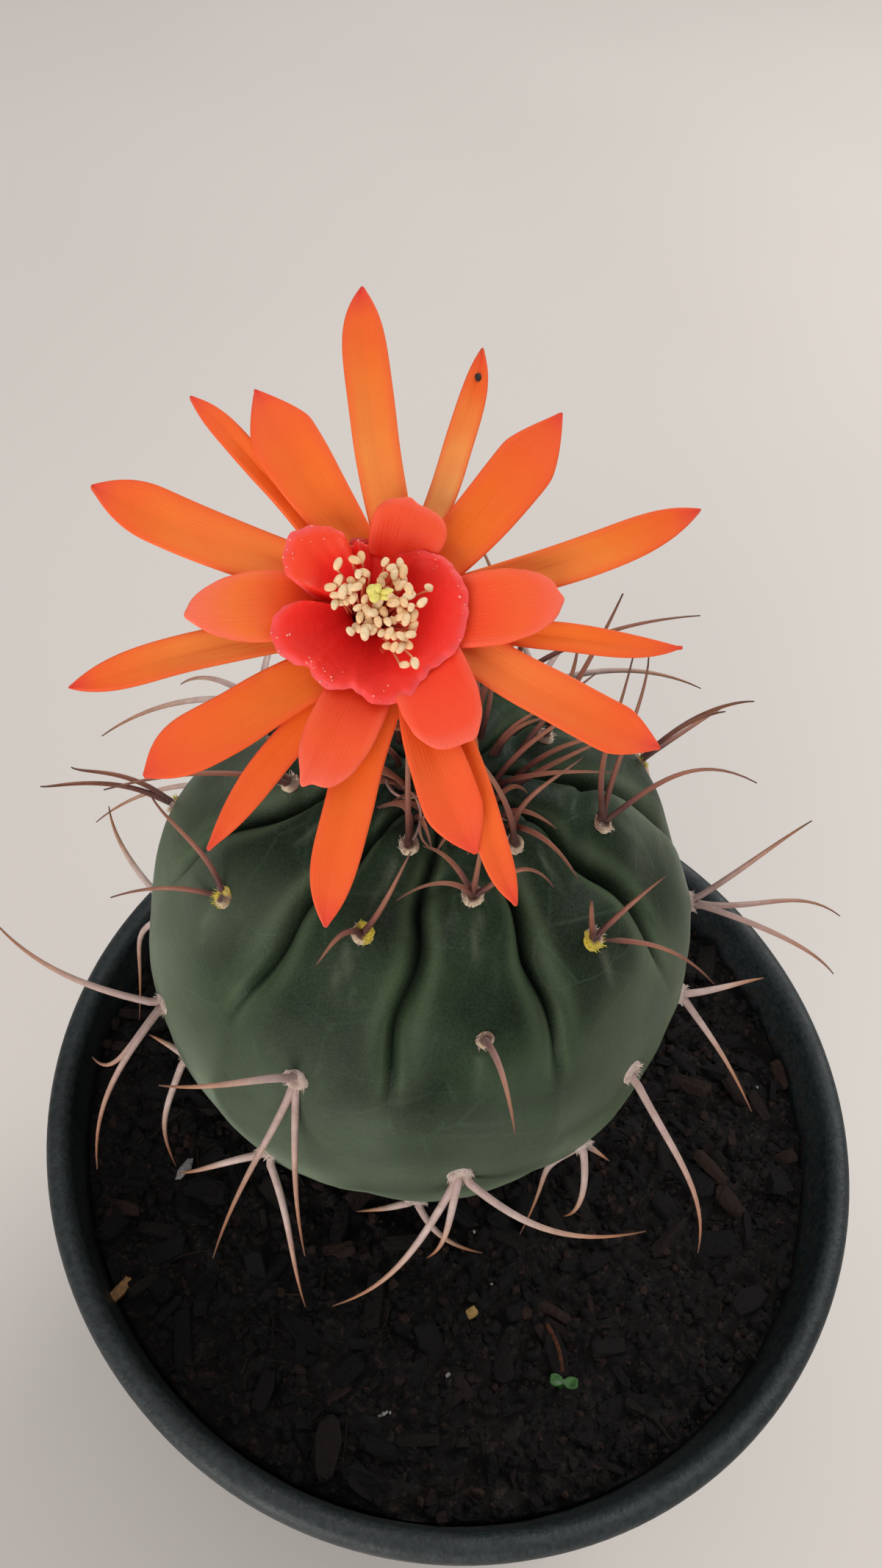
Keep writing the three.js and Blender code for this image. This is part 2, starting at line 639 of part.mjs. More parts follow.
function makeTube(swelling) {
  const curve = tubeCurve();
  let guide;
  const rings = TUBE_RADII.map((radius, k) => {
    const part = k / (TUBE_RADII.length - 1);
    const tangent = curve.getTangent(part).normalize();
    const [side, ahead] = squareTo(tangent, guide);
    guide = ahead;
    return ringAt(curve.getPoint(part), side, ahead, radius + swelling, TUBE_SIDES);
  });
  const foot = rings[0].reduce((sum, point) => sum.add(point), vector(0, 0, 0));
  foot.divideScalar(TUBE_SIDES);
  if (swelling > 0) {
    foot.z -= swelling;
    rings[0].forEach((point) => point.setZ(point.z - swelling));
  }
  return skin(foot, rings, curve.getPoint(1));
}

// Mouth end of the tube: a flared wall round the throat
function mouthSolid(profile) {
  const geometry = lathe(profile, TUBE_SIDES);
  geometry.applyMatrix4(FRAME);
  return solidOf(geometry);
}

function tepalProfile(part, blunt, baseShare) {
  const widest = blunt ? 0.7 : 0.62;
  if (part < widest) {
    return lerp(baseShare, 1, Math.sin((Math.PI / 2) * (part / widest)));
  }
  const x = (part - widest) / (1 - widest);
  return blunt ? Math.sqrt(1 - 0.93 * x ** 3) : 1 - 0.9 * x ** 1.7;
}

// Tepal: a thin blade with a slight fold along its middle, from a root in the mouth's wall.
// `shape` gives its root's distance and height, its arch, and its tip's height.
function makeTepal([tipTurn, reach, rootTurn, width], shape) {
  const spotAt = (turn, distance) => {
    const turnRad = THREE.MathUtils.degToRad(turn);
    return new THREE.Vector2(Math.sin(turnRad), Math.cos(turnRad)).multiplyScalar(distance);
  };
  const root = spotAt(rootTurn, shape.rootRadius);
  const run = spotAt(tipTurn, reach).sub(root);
  const out = run.clone().normalize();
  const half = TEPAL_THICKNESS / 2;
  const place = (distance, offset, height) => inMouth(
    root.x + out.x * distance + out.y * offset,
    root.y + out.y * distance - out.x * offset,
    height,
  );
  const stations = [0, 0.3, 0.6, 0.8, 0.93, 1];
  const centre = (part) => [
    part * run.length(),
    lerp(shape.rootHeight, shape.tipHeight, part) + shape.arch * Math.sin(Math.PI * part),
  ];
  const rings = stations.map((part) => {
    const [distance, height] = centre(part);
    const wide = (width / 2) * tepalProfile(part, shape.blunt, shape.baseShare);
    const fold = shape.fold * wide;
    return [
      place(distance, -wide, height + fold + half),
      place(distance, 0, height + half),
      place(distance, wide, height + fold + half),
      place(distance, wide, height + fold - half),
      place(distance, 0, height - half),
      place(distance, -wide, height + fold - half),
    ];
  });
  const [rootDistance, rootHeight] = centre(0);
  const [tipDistance, tipHeight] = centre(1);
  const start = place(rootDistance, 0, rootHeight);
  const end = place(tipDistance + 0.25, 0, tipHeight + 0.1);
  return skin(start, rings, end, 3);
}

// Scale on the tube: a narrow leaf that leans off it
function makeScale(seed) {
  const curve = tubeCurve();
  const part = lerp(0.12, 0.9, (seed + 0.5) / SCALE_COUNT);
  const along = curve.getTangent(part).normalize();
  const [side, ahead] = squareTo(along);
  const angle = SCALE_TURN * seed;
  const out = side.multiplyScalar(Math.cos(angle)).addScaledVector(ahead, Math.sin(angle));
  const across = along.clone().cross(out).normalize();
  const radius = TUBE_RADII[Math.round(part * (TUBE_RADII.length - 1))];
  const half = TEPAL_THICKNESS / 2;
  const root = curve.getPoint(part).addScaledVector(out, radius - SCALE_SINK);
  const rings = [0, 0.45, 1].map((step) => {
    const wide = (SCALE_WIDTH / 2) * [1, 0.8, 0.2][Math.round(step * 2)];
    const centre = root.clone()
      .addScaledVector(along, SCALE_LENGTH * step)
      .addScaledVector(out, SCALE_LEAN * step);
    const corner = (a, b) => centre.clone().addScaledVector(across, a).addScaledVector(out, b);
    return [corner(-wide, half), corner(wide, half), corner(wide, -half), corner(-wide, -half)];
  });
  const tip = root.clone()
    .addScaledVector(along, SCALE_LENGTH * 1.04)
    .addScaledVector(out, SCALE_LEAN * 1.03);
  return skin(root, rings, tip, 2);
}

const OUTER_SHAPE = {
  rootRadius: 6.1,
  rootHeight: -1.1,
  tipHeight: 0.2,
  arch: 0.9,
  fold: 0.12,
  baseShare: 0.62,
  blunt: false,
};
const INNER_SHAPE = {
  rootRadius: 5.1,
  rootHeight: 1.1,
  tipHeight: 3.4,
  arch: 1.1,
  fold: 0.14,
  baseShare: 0.55,
  blunt: true,
};
const LOBE_SHAPE = {
  rootRadius: 4.9,
  rootHeight: 0.7,
  tipHeight: 5.2,
  arch: 0.5,
  fold: 0.2,
  baseShare: 0.7,
  blunt: true,
};

function makeFlowerTube() {
  const wall = mouthSolid([
    [0, -THROAT_DEPTH - THROAT_FLOOR],
    [MOUTH_FOOT_RADIUS, -THROAT_DEPTH - THROAT_FLOOR],
    [MOUTH_MIDDLE_RADIUS, -THROAT_DEPTH / 2],
    [TUBE_RIM_RADIUS, -MOUTH_RIM_HEIGHT],
    [TUBE_RIM_RADIUS, -MOUTH_EDGE_HEIGHT],
    [TUBE_RIM_RADIUS - MOUTH_EDGE_WIDTH, 0],
    [0, 0],
  ]);
  const throat = mouthSolid([
    [0, -THROAT_DEPTH],
    [THROAT_RADIUS, -THROAT_DEPTH],
    [THROAT_RADIUS, -THROAT_DEPTH / 2],
    [THROAT_MOUTH_RADIUS, 0],
    [THROAT_MOUTH_RADIUS, 2],
    [0, 2],
  ]);
  const scales = [];
  for (let k = 0; k < SCALE_COUNT; k += 1) {
    scales.push(makeScale(k));
  }
  const tepals = OUTER_TEPALS.map((tepal) => makeTepal(tepal, OUTER_SHAPE));
  return fuse([makeTube(0), wall, ...scales, ...tepals]).subtract(throat);
}

// Inner tepals: they spring from a short red funnel that lines the throat
function makeInnerTepals() {
  const low = -THROAT_DEPTH + SEAT_GAP;
  const outer = THROAT_RADIUS - SEAT_GAP;
  const outerMouth = THROAT_MOUTH_RADIUS - SEAT_GAP;
  const wall = FUNNEL_WALL;
  const funnel = mouthSolid([
    [outer - wall, low],
    [outer, low],
    [outer, -THROAT_DEPTH / 2],
    [outerMouth, 0],
    [outerMouth + 0.3, FUNNEL_RISE - 0.2],
    [outerMouth - wall, FUNNEL_RISE],
    [outerMouth - wall, 0],
    [outer - wall, -THROAT_DEPTH / 2],
    [outer - wall, low],
  ]);
  const tepals = INNER_TEPALS.map((tepal) => makeTepal(tepal, INNER_SHAPE));
  const lobes = LOBES.map((tepal) => makeTepal(tepal, LOBE_SHAPE));
  return fuse([funnel, ...tepals, ...lobes]);
}

// Stamens: filaments from a ring round the style, each with an anther at its end
function makeStamen(row, k) {
  const seed = k + row.count * 3;
  const turn = (2 * Math.PI * k) / row.count;
  const reach = row.reach + ANTHER_STRAY * (draw(seed) - 0.5);
  const height = ANTHER_HEIGHT + 1.3 * draw(seed + 5) - 0.12 * reach;
  const floor = -THROAT_DEPTH + 2 * SEAT_GAP;
  const x = Math.cos(turn);
  const y = Math.sin(turn);
  const point = (part) => {
    const radius = lerp(row.root, reach, part ** 3);
    return inMouth(x * radius + 0.3 * part ** 4, y * radius - 0.4 * part ** 4, lerp(floor, height, part));
  };
  const tilt = vector(draw(seed + 11) - 0.5, draw(seed + 23) - 0.5, 0.5 + draw(seed + 31));
  tilt.transformDirection(FRAME);
  const tip = point(1);
  const along = (share) => tip.clone().addScaledVector(tilt, share * ANTHER_LENGTH);
  return rod(
    [point(0), point(0.6), tip, along(0.5), along(1)],
    [FILAMENT_RADIUS, FILAMENT_RADIUS, FILAMENT_RADIUS, ANTHER_RADIUS, FILAMENT_RADIUS],
    3,
  );
}

function makeStamens() {
  const low = -THROAT_DEPTH + SEAT_GAP;
  const ring = mouthSolid([
    [STAMEN_RING_INNER, low],
    [STAMEN_RING_OUTER, low],
    [STAMEN_RING_OUTER, low + 1],
    [STAMEN_RING_INNER, low + 1],
    [STAMEN_RING_INNER, low],
  ]);
  const stamens = [];
  for (const row of STAMEN_ROWS) {
    for (let k = 0; k < row.count; k += 1) {
      stamens.push(makeStamen(row, k));
    }
  }
  return fuse([ring, ...stamens]);
}

// Pistil: a straight style with a few folded stigma lobes at its top
function makePistil() {
  const foot = inMouth(0, 0, -THROAT_DEPTH + SEAT_GAP);
  const top = inMouth(0, 0, STYLE_TOP);
  const parts = [rod([foot, top], [STYLE_RADIUS, STYLE_RADIUS], 6)];
  for (let k = 0; k < STIGMA_LOBES; k += 1) {
    const turn = (2 * Math.PI * k) / STIGMA_LOBES + 0.4;
    const x = Math.cos(turn);
    const y = Math.sin(turn);
    parts.push(rod([
      inMouth(0, 0, STYLE_TOP - 0.8),
      inMouth(0.6 * x, 0.6 * y, STYLE_TOP + 0.6),
      inMouth(0.9 * x, 0.9 * y, STYLE_TOP + 1.2),
    ], [0.45, 0.5, 0.35], 5));
  }
  return fuse(parts);
}

// Seedling: a short stalk in its own hole with two round seed leaves
function makeSeedling() {
  const top = soilHeight(SEEDLING_X, SEEDLING_Y);
  const foot = vector(SEEDLING_X, SEEDLING_Y, top - SEEDLING_HEIGHT + SEAT_GAP);
  const head = vector(SEEDLING_X, SEEDLING_Y, top + SEEDLING_HEIGHT);
  const parts = [rod([foot, head], [SEEDLING_STALK_RADIUS, SEEDLING_STALK_RADIUS], 6)];
  for (const way of [-1, 1]) {
    const rings = [0, 0.5, 1].map((part) => {
      const wide = (SEEDLING_LEAF_WIDTH / 2) * [0.35, 1, 0.5][Math.round(part * 2)];
      const centre = head.clone();
      centre.x += way * SEEDLING_LEAF_LENGTH * part;
      centre.z += 0.8 * part - 0.4;
      const corner = (y, z) => vector(centre.x, centre.y + y, centre.z + z);
      return [corner(-wide, 0.3), corner(wide, 0.3), corner(wide, -0.3), corner(-wide, -0.3)];
    });
    const root = head.clone();
    root.z -= 0.4;
    const tip = vector(head.x + way * (SEEDLING_LEAF_LENGTH + 0.3), head.y, head.z + 0.42);
    parts.push(skin(root, rings, tip, 2));
  }
  return fuse(parts);
}

function meshOf(name, solid, material) {
  const result = solid.getMesh();
  const geometry = new THREE.BufferGeometry();
  geometry.setAttribute('position', new THREE.BufferAttribute(result.vertProperties, 3));
  geometry.setIndex(new THREE.BufferAttribute(result.triVerts, 1));
  geometry.computeVertexNormals();
  const mesh = new THREE.Mesh(geometry, new THREE.MeshStandardMaterial(material));
  mesh.name = name;
  return mesh;
}

const PIECES = [
  ['pot', makePot(), 0x1f2a2a, 0.45],
  ['soil', makeSoil(), 0x1d1410, 0.95],
  ['cactus_stem', makeStem(), 0x33513f, 0.6],
  ['flower_tube', makeFlowerTube(), 0xe8702a, 0.5],
  ['flower_inner_tepals', makeInnerTepals(), 0xe8402c, 0.45],
  ['flower_stamens', makeStamens(), 0xf4cf9a, 0.7],
  ['flower_pistil', makePistil(), 0xe2da62, 0.6],
  ['seedling', makeSeedling(), 0x4f9a2e, 0.6],
];

const group = new THREE.Group();
for (const [name, solid, color, roughness] of PIECES) {
  group.add(meshOf(name, solid, { color, roughness, metalness: 0 }));
}

export default group;
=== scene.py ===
from math import asin, atan2, cos, degrees, exp, floor, hypot, pi, radians, sin, sqrt, tan

import bpy
from mathutils import Matrix, Vector, noise


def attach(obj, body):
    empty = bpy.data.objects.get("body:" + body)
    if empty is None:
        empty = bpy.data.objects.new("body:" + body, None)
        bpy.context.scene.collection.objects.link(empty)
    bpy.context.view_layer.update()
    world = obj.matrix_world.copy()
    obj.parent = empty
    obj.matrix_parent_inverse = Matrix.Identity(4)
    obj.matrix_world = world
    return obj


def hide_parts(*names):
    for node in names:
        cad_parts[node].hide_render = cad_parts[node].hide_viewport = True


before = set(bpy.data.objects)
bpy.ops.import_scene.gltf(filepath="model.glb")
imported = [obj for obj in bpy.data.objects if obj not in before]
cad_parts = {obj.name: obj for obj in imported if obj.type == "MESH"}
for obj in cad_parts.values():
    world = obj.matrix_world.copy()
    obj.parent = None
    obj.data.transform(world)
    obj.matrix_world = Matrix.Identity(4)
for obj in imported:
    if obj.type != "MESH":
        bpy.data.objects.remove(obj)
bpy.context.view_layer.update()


# The plant is looked down on from in front, close to its flower, with the camera rolled a
# little. It stands on a plain pale floor in soft light from a large window-like lamp behind
# it on the right, a second one overhead and a weak one from the viewer's side.
CAMERA_PLACE = Vector((-0.0145, -0.0934, 0.3337))
CAMERA_PITCH = radians(53.21)
CAMERA_ROLL = radians(10.88)
CAMERA_VIEW_HEIGHT = radians(65)
CAMERA_FILM = 36

ahead = Vector((0, cos(CAMERA_PITCH), -sin(CAMERA_PITCH)))
level = Vector((1, 0, 0))
below = ahead.cross(level)
camera_right = cos(CAMERA_ROLL) * level - sin(CAMERA_ROLL) * below
camera_down = sin(CAMERA_ROLL) * level + cos(CAMERA_ROLL) * below
camera_turn = Matrix((camera_right, -camera_down, -ahead)).transposed().to_4x4()
bpy.ops.object.select_all(action="DESELECT")
bpy.ops.object.camera_add()
camera = bpy.context.active_object
camera.name = "camera"
camera.matrix_world = Matrix.Translation(CAMERA_PLACE) @ camera_turn
camera.data.sensor_width = CAMERA_FILM
camera.data.lens = CAMERA_FILM / 2 / tan(CAMERA_VIEW_HEIGHT / 2)
camera.data.clip_start = 0.005
camera.data.clip_end = 50
bpy.context.scene.camera = camera
bpy.context.scene.view_settings.view_transform = "Standard"
bpy.context.scene.view_settings.look = "None"


def soft_lamp(name, place, aim, size, power, colour):
    """A large round lamp that faces a point."""
    bpy.ops.object.light_add(type="AREA", location=place)
    lamp = bpy.context.active_object
    lamp.name = name
    lamp.data.shape = "DISK"
    lamp.data.size = size
    lamp.data.energy = power
    lamp.data.color = colour
    way = Vector(aim) - Vector(place)
    lamp.rotation_euler = way.to_track_quat("-Z", "Y").to_euler()


LAMP_AIM = (0, 0, 0.15)
soft_lamp("window_lamp", (0.55, 0.75, 0.95), LAMP_AIM, 0.9, 7.8, (1, 0.985, 0.96))
soft_lamp("top_lamp", (-0.2, -0.1, 1.5), LAMP_AIM, 1.3, 4.4, (1, 0.99, 0.97))
soft_lamp("front_lamp", (-0.3, -1.05, 0.34), LAMP_AIM, 0.9, 8.5, (1, 0.97, 0.95))

world = bpy.data.worlds.new("soft_room")
world.use_nodes = True
world.node_tree.nodes["Background"].inputs["Color"].default_value = (0.93, 0.94, 1, 1)
world.node_tree.nodes["Background"].inputs["Strength"].default_value = 0.36
bpy.context.scene.world = world


def paint(red, green, blue):
    """Linear colour with full cover from the 0 to 255 values that a painter mixes by."""
    def linear(value):
        part = value / 255
        return part / 12.92 if part <= 0.04045 else ((part + 0.055) / 1.055) ** 2.4
    return (linear(red), linear(green), linear(blue), 1)


def add_node(tree, kind, inputs=None, **settings):
    """A shader node with its settings, and with its inputs set or joined to other nodes."""
    made = tree.nodes.new("ShaderNode" + kind)
    for name, value in settings.items():
        setattr(made, name, value)
    for name, value in (inputs or {}).items():
        if isinstance(value, bpy.types.NodeSocket):
            tree.links.new(value, made.inputs[name])
        else:
            made.inputs[name].default_value = value
    return made


def new_finish(name, **plain):
    """A material and its node tree. The plain values are the same all over."""
    made = bpy.data.materials.new(name)
    made.use_nodes = True
    for socket, value in plain.items():
        made.node_tree.nodes["Principled BSDF"].inputs[socket.replace("_", " ")].default_value = value
    return made, made.node_tree


def feed(tree, socket, value):
    """Joins a node's output to a socket of the material's shader."""
    tree.links.new(value, tree.nodes["Principled BSDF"].inputs[socket])


def mix_paint(tree, share, first, second):
    """Two colours mixed by a share from 0 to 1; either may be a colour or a node's output."""
    first, second = (paint(*each) if isinstance(each, tuple) else each for each in (first, second))
    made = add_node(tree, "Mix", {0: share, 6: first, 7: second}, data_type="RGBA", clamp_factor=True)
    return made.outputs[2]


def sum_up(tree, operation, first, second):
    return add_node(tree, "Math", {0: first, 1: second}, operation=operation).outputs[0]


def times(tree, first, second):
    return sum_up(tree, "MULTIPLY", first, second)


def tinted(tree, under, mask, share, colour):
    """A colour laid over the one under it where a mask shows, at a share of full strength."""
    return mix_paint(tree, times(tree, mask, share), under, colour)


def stretch(tree, value, *ends):
    """A value's stretch between two ends, laid over 0 to 1 or over two other ends."""
    names = ("From Min", "From Max", "To Min", "To Max")
    return add_node(tree, "MapRange", {"Value": value, **dict(zip(names, ends))}).outputs["Result"]


def blank_group(name, inputs, outputs):
    """An empty shader node group with number inputs and outputs of those names."""
    group = bpy.data.node_groups.new(name, "ShaderNodeTree")
    for way, sockets in (("INPUT", inputs), ("OUTPUT", outputs)):
        for socket in sockets:
            group.interface.new_socket(name=socket, in_out=way, socket_type="NodeSocketFloat")
    return group, group.nodes.new("NodeGroupInput").outputs, group.nodes.new("NodeGroupOutput").inputs


# Soft blotches, as on anything moulded, grown or weathered
mottle, mottle_in, mottle_out = blank_group("mottle", ["Scale", "Detail", "Contrast"], ["Mask"])
blotches = add_node(mottle, "TexNoise", {
    "Vector": add_node(mottle, "TexCoord").outputs["Object"],
    "Scale": mottle_in["Scale"], "Detail": mottle_in["Detail"]}).outputs[0]
half_contrast = times(mottle, mottle_in["Contrast"], 0.5)
low = sum_up(mottle, "SUBTRACT", 0.5, half_contrast)
high = sum_up(mottle, "ADD", 0.5, half_contrast)
mottle.links.new(stretch(mottle, blotches, low, high), mottle_out["Mask"])


def mottled(tree, scale, detail=3.0, contrast=0.3):
    values = {"Scale": scale, "Detail": detail, "Contrast": contrast}
    return add_node(tree, "Group", values, node_tree=mottle).outputs["Mask"]


def roughen(tree, height, depth, strength=1.0):
    """Low relief on a surface. The depth is in metres."""
    bump = add_node(tree, "Bump", {"Height": height, "Distance": depth, "Strength": strength})
    feed(tree, "Normal", bump.outputs["Normal"])


def height_on(tree):
    """How high a place is, in metres."""
    place = add_node(tree, "TexCoord").outputs["Object"]
    return add_node(tree, "SeparateXYZ", {"Vector": place}).outputs["Z"]


floor_finish, tree = new_finish("pale_floor", Roughness=0.6)
feed(tree, "Base Color", mix_paint(
    tree, mottled(tree, 3.0, 2.0, 0.5), (226, 219, 211), (219, 211, 203)))
bpy.ops.mesh.primitive_plane_add(size=6, location=(0, 0, -0.0003))
floor_sheet = bpy.context.active_object
floor_sheet.name = "floor"
floor_sheet.data.materials.append(floor_finish)


# Pot: injection-moulded from dark green-black plastic, one thin tapered wall with a rolled
# lip and a flat base with eight drain holes. It has a soft sheen, fine scuffs, and a lighter
# brown tint on the inside of its lip and on all of the wall below it. This tint is partly
# dried mix and partly painted light that lifts the shade on the inner wall.
MM = 0.001
POT_HEIGHT = 115
POT_BASE = 54
POT_WALL_TOP = 71.2
POT_WALL = 1.6
POT_FLOOR = 2.2
LIP_FOOT = 107
LIP_RADIUS = 75
LIP_ROUND = 2.2
DRAIN_COUNT = 8
DRAIN_RADIUS = 4
DRAIN_CIRCLE = 42
DRAIN_SIDES = 28
POT_SIDES = 176
WALL_RINGS = 12
LIP_STEPS = 12
MIX_FILM_AND_LIGHT_FULL = 107.5
MIX_FILM_AND_LIGHT_TOP = 111.5


def own_piece(name):
    """The object just added, under its own name."""
    piece = bpy.context.active_object
    piece.name = name
    piece.data.name = name
    return piece


def new_piece(name, add, **sizes):
    """A fresh mesh primitive under its own name."""
    bpy.ops.object.select_all(action="DESELECT")
    add(**sizes)
    return own_piece(name)


def in_edit(*steps):
    """Runs each step on all of the active piece in edit mode."""
    bpy.ops.object.mode_set(mode="EDIT")
    for step in steps:
        bpy.ops.mesh.select_all(action="SELECT")
        step()
    bpy.ops.object.mode_set(mode="OBJECT")


def face_out():
    bpy.ops.mesh.normals_make_consistent(inside=False)


def raised(name, sides, rings, fill="NGON"):
    """A column of unit radius raised out of a circle, its rings one unit apart."""
    piece = new_piece(
        name, bpy.ops.mesh.primitive_circle_add, vertices=sides, radius=1, fill_type=fill)

    def lift():
        for _ in range(rings - 1):
            bpy.ops.mesh.extrude_region_move(TRANSFORM_OT_translate={"value": (0, 0, 1)})
    in_edit(lift, face_out)
    return piece


def turned(name, stations, sides):
    """A round piece in millimetres, led ring by ring through stations of radius and height."""
    piece = raised(name, sides, len(stations))
    for vertex in piece.data.vertices:
        radius, height = stations[round(vertex.co.z)]
        vertex.co = Vector((vertex.co.x * radius, vertex.co.y * radius, height)) * MM
    return piece


def joined(name, pieces):
    """Several pieces made one, under its own name."""
    bpy.ops.object.select_all(action="DESELECT")
    for piece in pieces:
        piece.select_set(True)
    bpy.context.view_layer.objects.active = pieces[0]
    bpy.ops.object.join()
    return own_piece(name)


def smooth_over(piece, angle):
    bpy.ops.object.select_all(action="DESELECT")
    piece.select_set(True)
    bpy.context.view_layer.objects.active = piece
    bpy.ops.object.shade_smooth_by_angle(angle=radians(angle))


def reshape(piece, kind, **settings):
    """A modifier set and applied."""
    bpy.context.view_layer.objects.active = piece
    change = piece.modifiers.new(kind, kind)
    for name, value in settings.items():
        setattr(change, name, value)
    bpy.ops.object.modifier_apply(modifier=change.name)


def bring_in(piece, slot, finish, *nodes):
    """The piece gets its finish, rides on the plant's one body and stands for its CAD nodes."""
    piece.data.materials.clear()
    piece.data.materials.append(finish)
    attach(piece, "root")
    if nodes:
        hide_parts(*nodes)


def pot_inside(height):
    return POT_BASE + (POT_WALL_TOP - POT_BASE) * height / LIP_FOOT - POT_WALL


pot_stations = [(POT_BASE - 2.2, 0), (POT_BASE - 1.2, 0.15), (POT_BASE - 0.4, 0.65), (POT_BASE, 1.5)]
for k in range(1, WALL_RINGS + 1):
    part = k / (WALL_RINGS + 1)
    pot_stations.append((POT_BASE + (POT_WALL_TOP - POT_BASE) * part, LIP_FOOT * part))
pot_stations += [(POT_WALL_TOP - 0.1, LIP_FOOT - 0.7), (POT_WALL_TOP + 0.4, LIP_FOOT - 0.2)]
pot_stations += [(LIP_RADIUS - 1.4, LIP_FOOT), (LIP_RADIUS - 0.7, LIP_FOOT + 0.25)]
pot_stations += [(LIP_RADIUS - 0.3, LIP_FOOT + 0.8), (LIP_RADIUS - 0.2, LIP_FOOT + 1.4)]
for k in range(LIP_STEPS + 1):
    angle = pi * k / LIP_STEPS
    pot_stations.append((
        LIP_RADIUS - LIP_ROUND + LIP_ROUND * cos(angle),
        POT_HEIGHT - LIP_ROUND + LIP_ROUND * sin(angle)))
pot_stations += [(pot_inside(LIP_FOOT) + 0.2, LIP_FOOT + 0.8), (pot_inside(LIP_FOOT), LIP_FOOT)]
pot_stations += [(pot_inside(POT_FLOOR + 1), POT_FLOOR + 1), (pot_inside(POT_FLOOR) - 1, POT_FLOOR)]
pot = turned("plastic_pot", pot_stations, POT_SIDES)

drills = []
for k in range(DRAIN_COUNT):
    angle = 2 * pi * (k + 0.5) / DRAIN_COUNT
    place = Vector((DRAIN_CIRCLE * cos(angle), DRAIN_CIRCLE * sin(angle), POT_FLOOR / 2)) * MM
    drills.append(new_piece(
        "drill", bpy.ops.mesh.primitive_cylinder_add, vertices=DRAIN_SIDES, radius=DRAIN_RADIUS * MM,
        depth=4 * POT_FLOOR * MM, location=place))
drill = joined("drill", drills)
bpy.ops.object.select_all(action="DESELECT")
reshape(pot, "BOOLEAN", operation="DIFFERENCE", solver="EXACT", object=drill)
bpy.data.objects.remove(drill)
smooth_over(pot, 35)

pot_finish, tree = new_finish("moulded_plastic", Roughness=0.5, Specular_IOR_Level=0.4)
plastic = mix_paint(tree, mottled(tree, 45.0, 4.0, 0.4), (22, 29, 30), (31, 39, 40))
plastic = tinted(tree, plastic, mottled(tree, 900.0, 2.0, 0.2), 0.25, (62, 70, 70))
# Lighter brown below the lip: partly dried mix, partly painted light that lifts the shade inside the pot
mix_film_and_painted_light = times(
    tree, stretch(tree, height_on(tree), MIX_FILM_AND_LIGHT_FULL * MM, MIX_FILM_AND_LIGHT_TOP * MM, 1.0, 0.0),
    stretch(tree, mottled(tree, 420.0, 5.0, 0.25), 0.35, 0.9))
plastic = tinted(tree, plastic, mix_film_and_painted_light, 0.5, (48, 38, 31))
feed(tree, "Base Color", plastic)
feed(tree, "Roughness", stretch(tree, mottled(tree, 130.0, 5.0, 0.35), 0, 1, 0.44, 0.62))
roughen(tree, mottled(tree, 1400.0, 3.0, 0.4), 0.00012, 0.5)
bring_in(pot, "pot_plastic", pot_finish, "pot")


# Potting mix: moist, crumbly and nearly black, it fills the pot to 9 mm below the rim. It is
# poured in round the stem and settles unevenly; bark chips, fibres and crumbs lie on it.
SOIL_TOP = 106
SOIL_RELIEF = 1.1
SOIL_RING_COUNT = 96
SOIL_SIDES = 400
SOIL_FOOT = 2.5
STEM_RADIUS = 46
STEM_CENTRE = Vector((-13.7, 16.6, 145.7))
UP = Vector((0, 0, 1))
HOLE_RADIUS = STEM_RADIUS + 0.35
STEM_CLEARANCE = 25.5
CRUMB_COUNT = 4200
FLAKE_COUNT = 420
FIBRE_COUNT = 170
PERLITE_COUNT = 16
NOISE_SEED = 1

# Unseeded, Blender's noise vectors differ at each run
noise.seed_set(NOISE_SEED)


def draw(seed):
    """A repeatable draw between 0 and 1 for a number."""
    value = sin(seed * 12.9898 + 4.1414) * 43758.5453
    return value - floor(value)


def between(low_end, high_end, part):
    return low_end + (high_end - low_end) * part


def pick(low_end, high_end, seed):
    """A repeatable draw between two ends."""
    return between(low_end, high_end, draw(seed))


def eased(low_end, high_end, value):
    part = min(1.0, max(0.0, (value - low_end) / (high_end - low_end)))
    return part * part * (3 - 2 * part)


def soil_level(x, y):
    """The settled top of the mix, before its crumbs."""
    slow = sin(x * 0.11 + 1.3) * cos(y * 0.13 - 0.4)
    quick = sin(x * 0.37 + y * 0.21) * sin(y * 0.43 - x * 0.16 + 2)
    crumbs = sin(x * 0.83 + 2 * sin(y * 0.31)) * sin(y * 0.71 - x * 0.52)
    return SOIL_TOP + SOIL_RELIEF * (0.5 * slow + 0.4 * quick + 0.5 * crumbs)


def crumbled(x, y):
    lumps = noise.fractal(Vector((x, y, 0)) * 0.17, 0.9, 2.1, 4)
    grains = abs(noise.noise(Vector((x, y, 7)) * 0.55))
    return soil_level(x, y) + 1.1 * lumps + 1.7 * grains - 0.6


soil_edge = pot_inside(SOIL_TOP - 2) - 0.3
soil_stations = [(pot_inside(SOIL_FOOT) - 1.6, SOIL_FOOT)]
soil_stations += [(pot_inside(SOIL_FOOT + 1.2) - 0.3, SOIL_FOOT + 1.2), (soil_edge, SOIL_TOP - 2)]
for k in range(SOIL_RING_COUNT):
    ring_radius = between(soil_edge - 0.4, 0.6, k / (SOIL_RING_COUNT - 1))
    soil_stations.append((ring_radius, SOIL_TOP))
soil = turned("potting_mix", soil_stations, SOIL_SIDES)
for vertex in soil.data.vertices:
    x, y, z = vertex.co / MM
    if z < SOIL_TOP - 1:
        continue
    away = hypot(x - STEM_CENTRE.x, y - STEM_CENTRE.y)
    top = crumbled(x, y) - 0.8 * eased(soil_edge - 3, soil_edge, hypot(x, y))
    if away < HOLE_RADIUS:
        ball = STEM_CENTRE.z - sqrt(HOLE_RADIUS ** 2 - away ** 2)
        top = min(top, ball)
    vertex.co.z = top * MM
smooth_over(soil, 60)

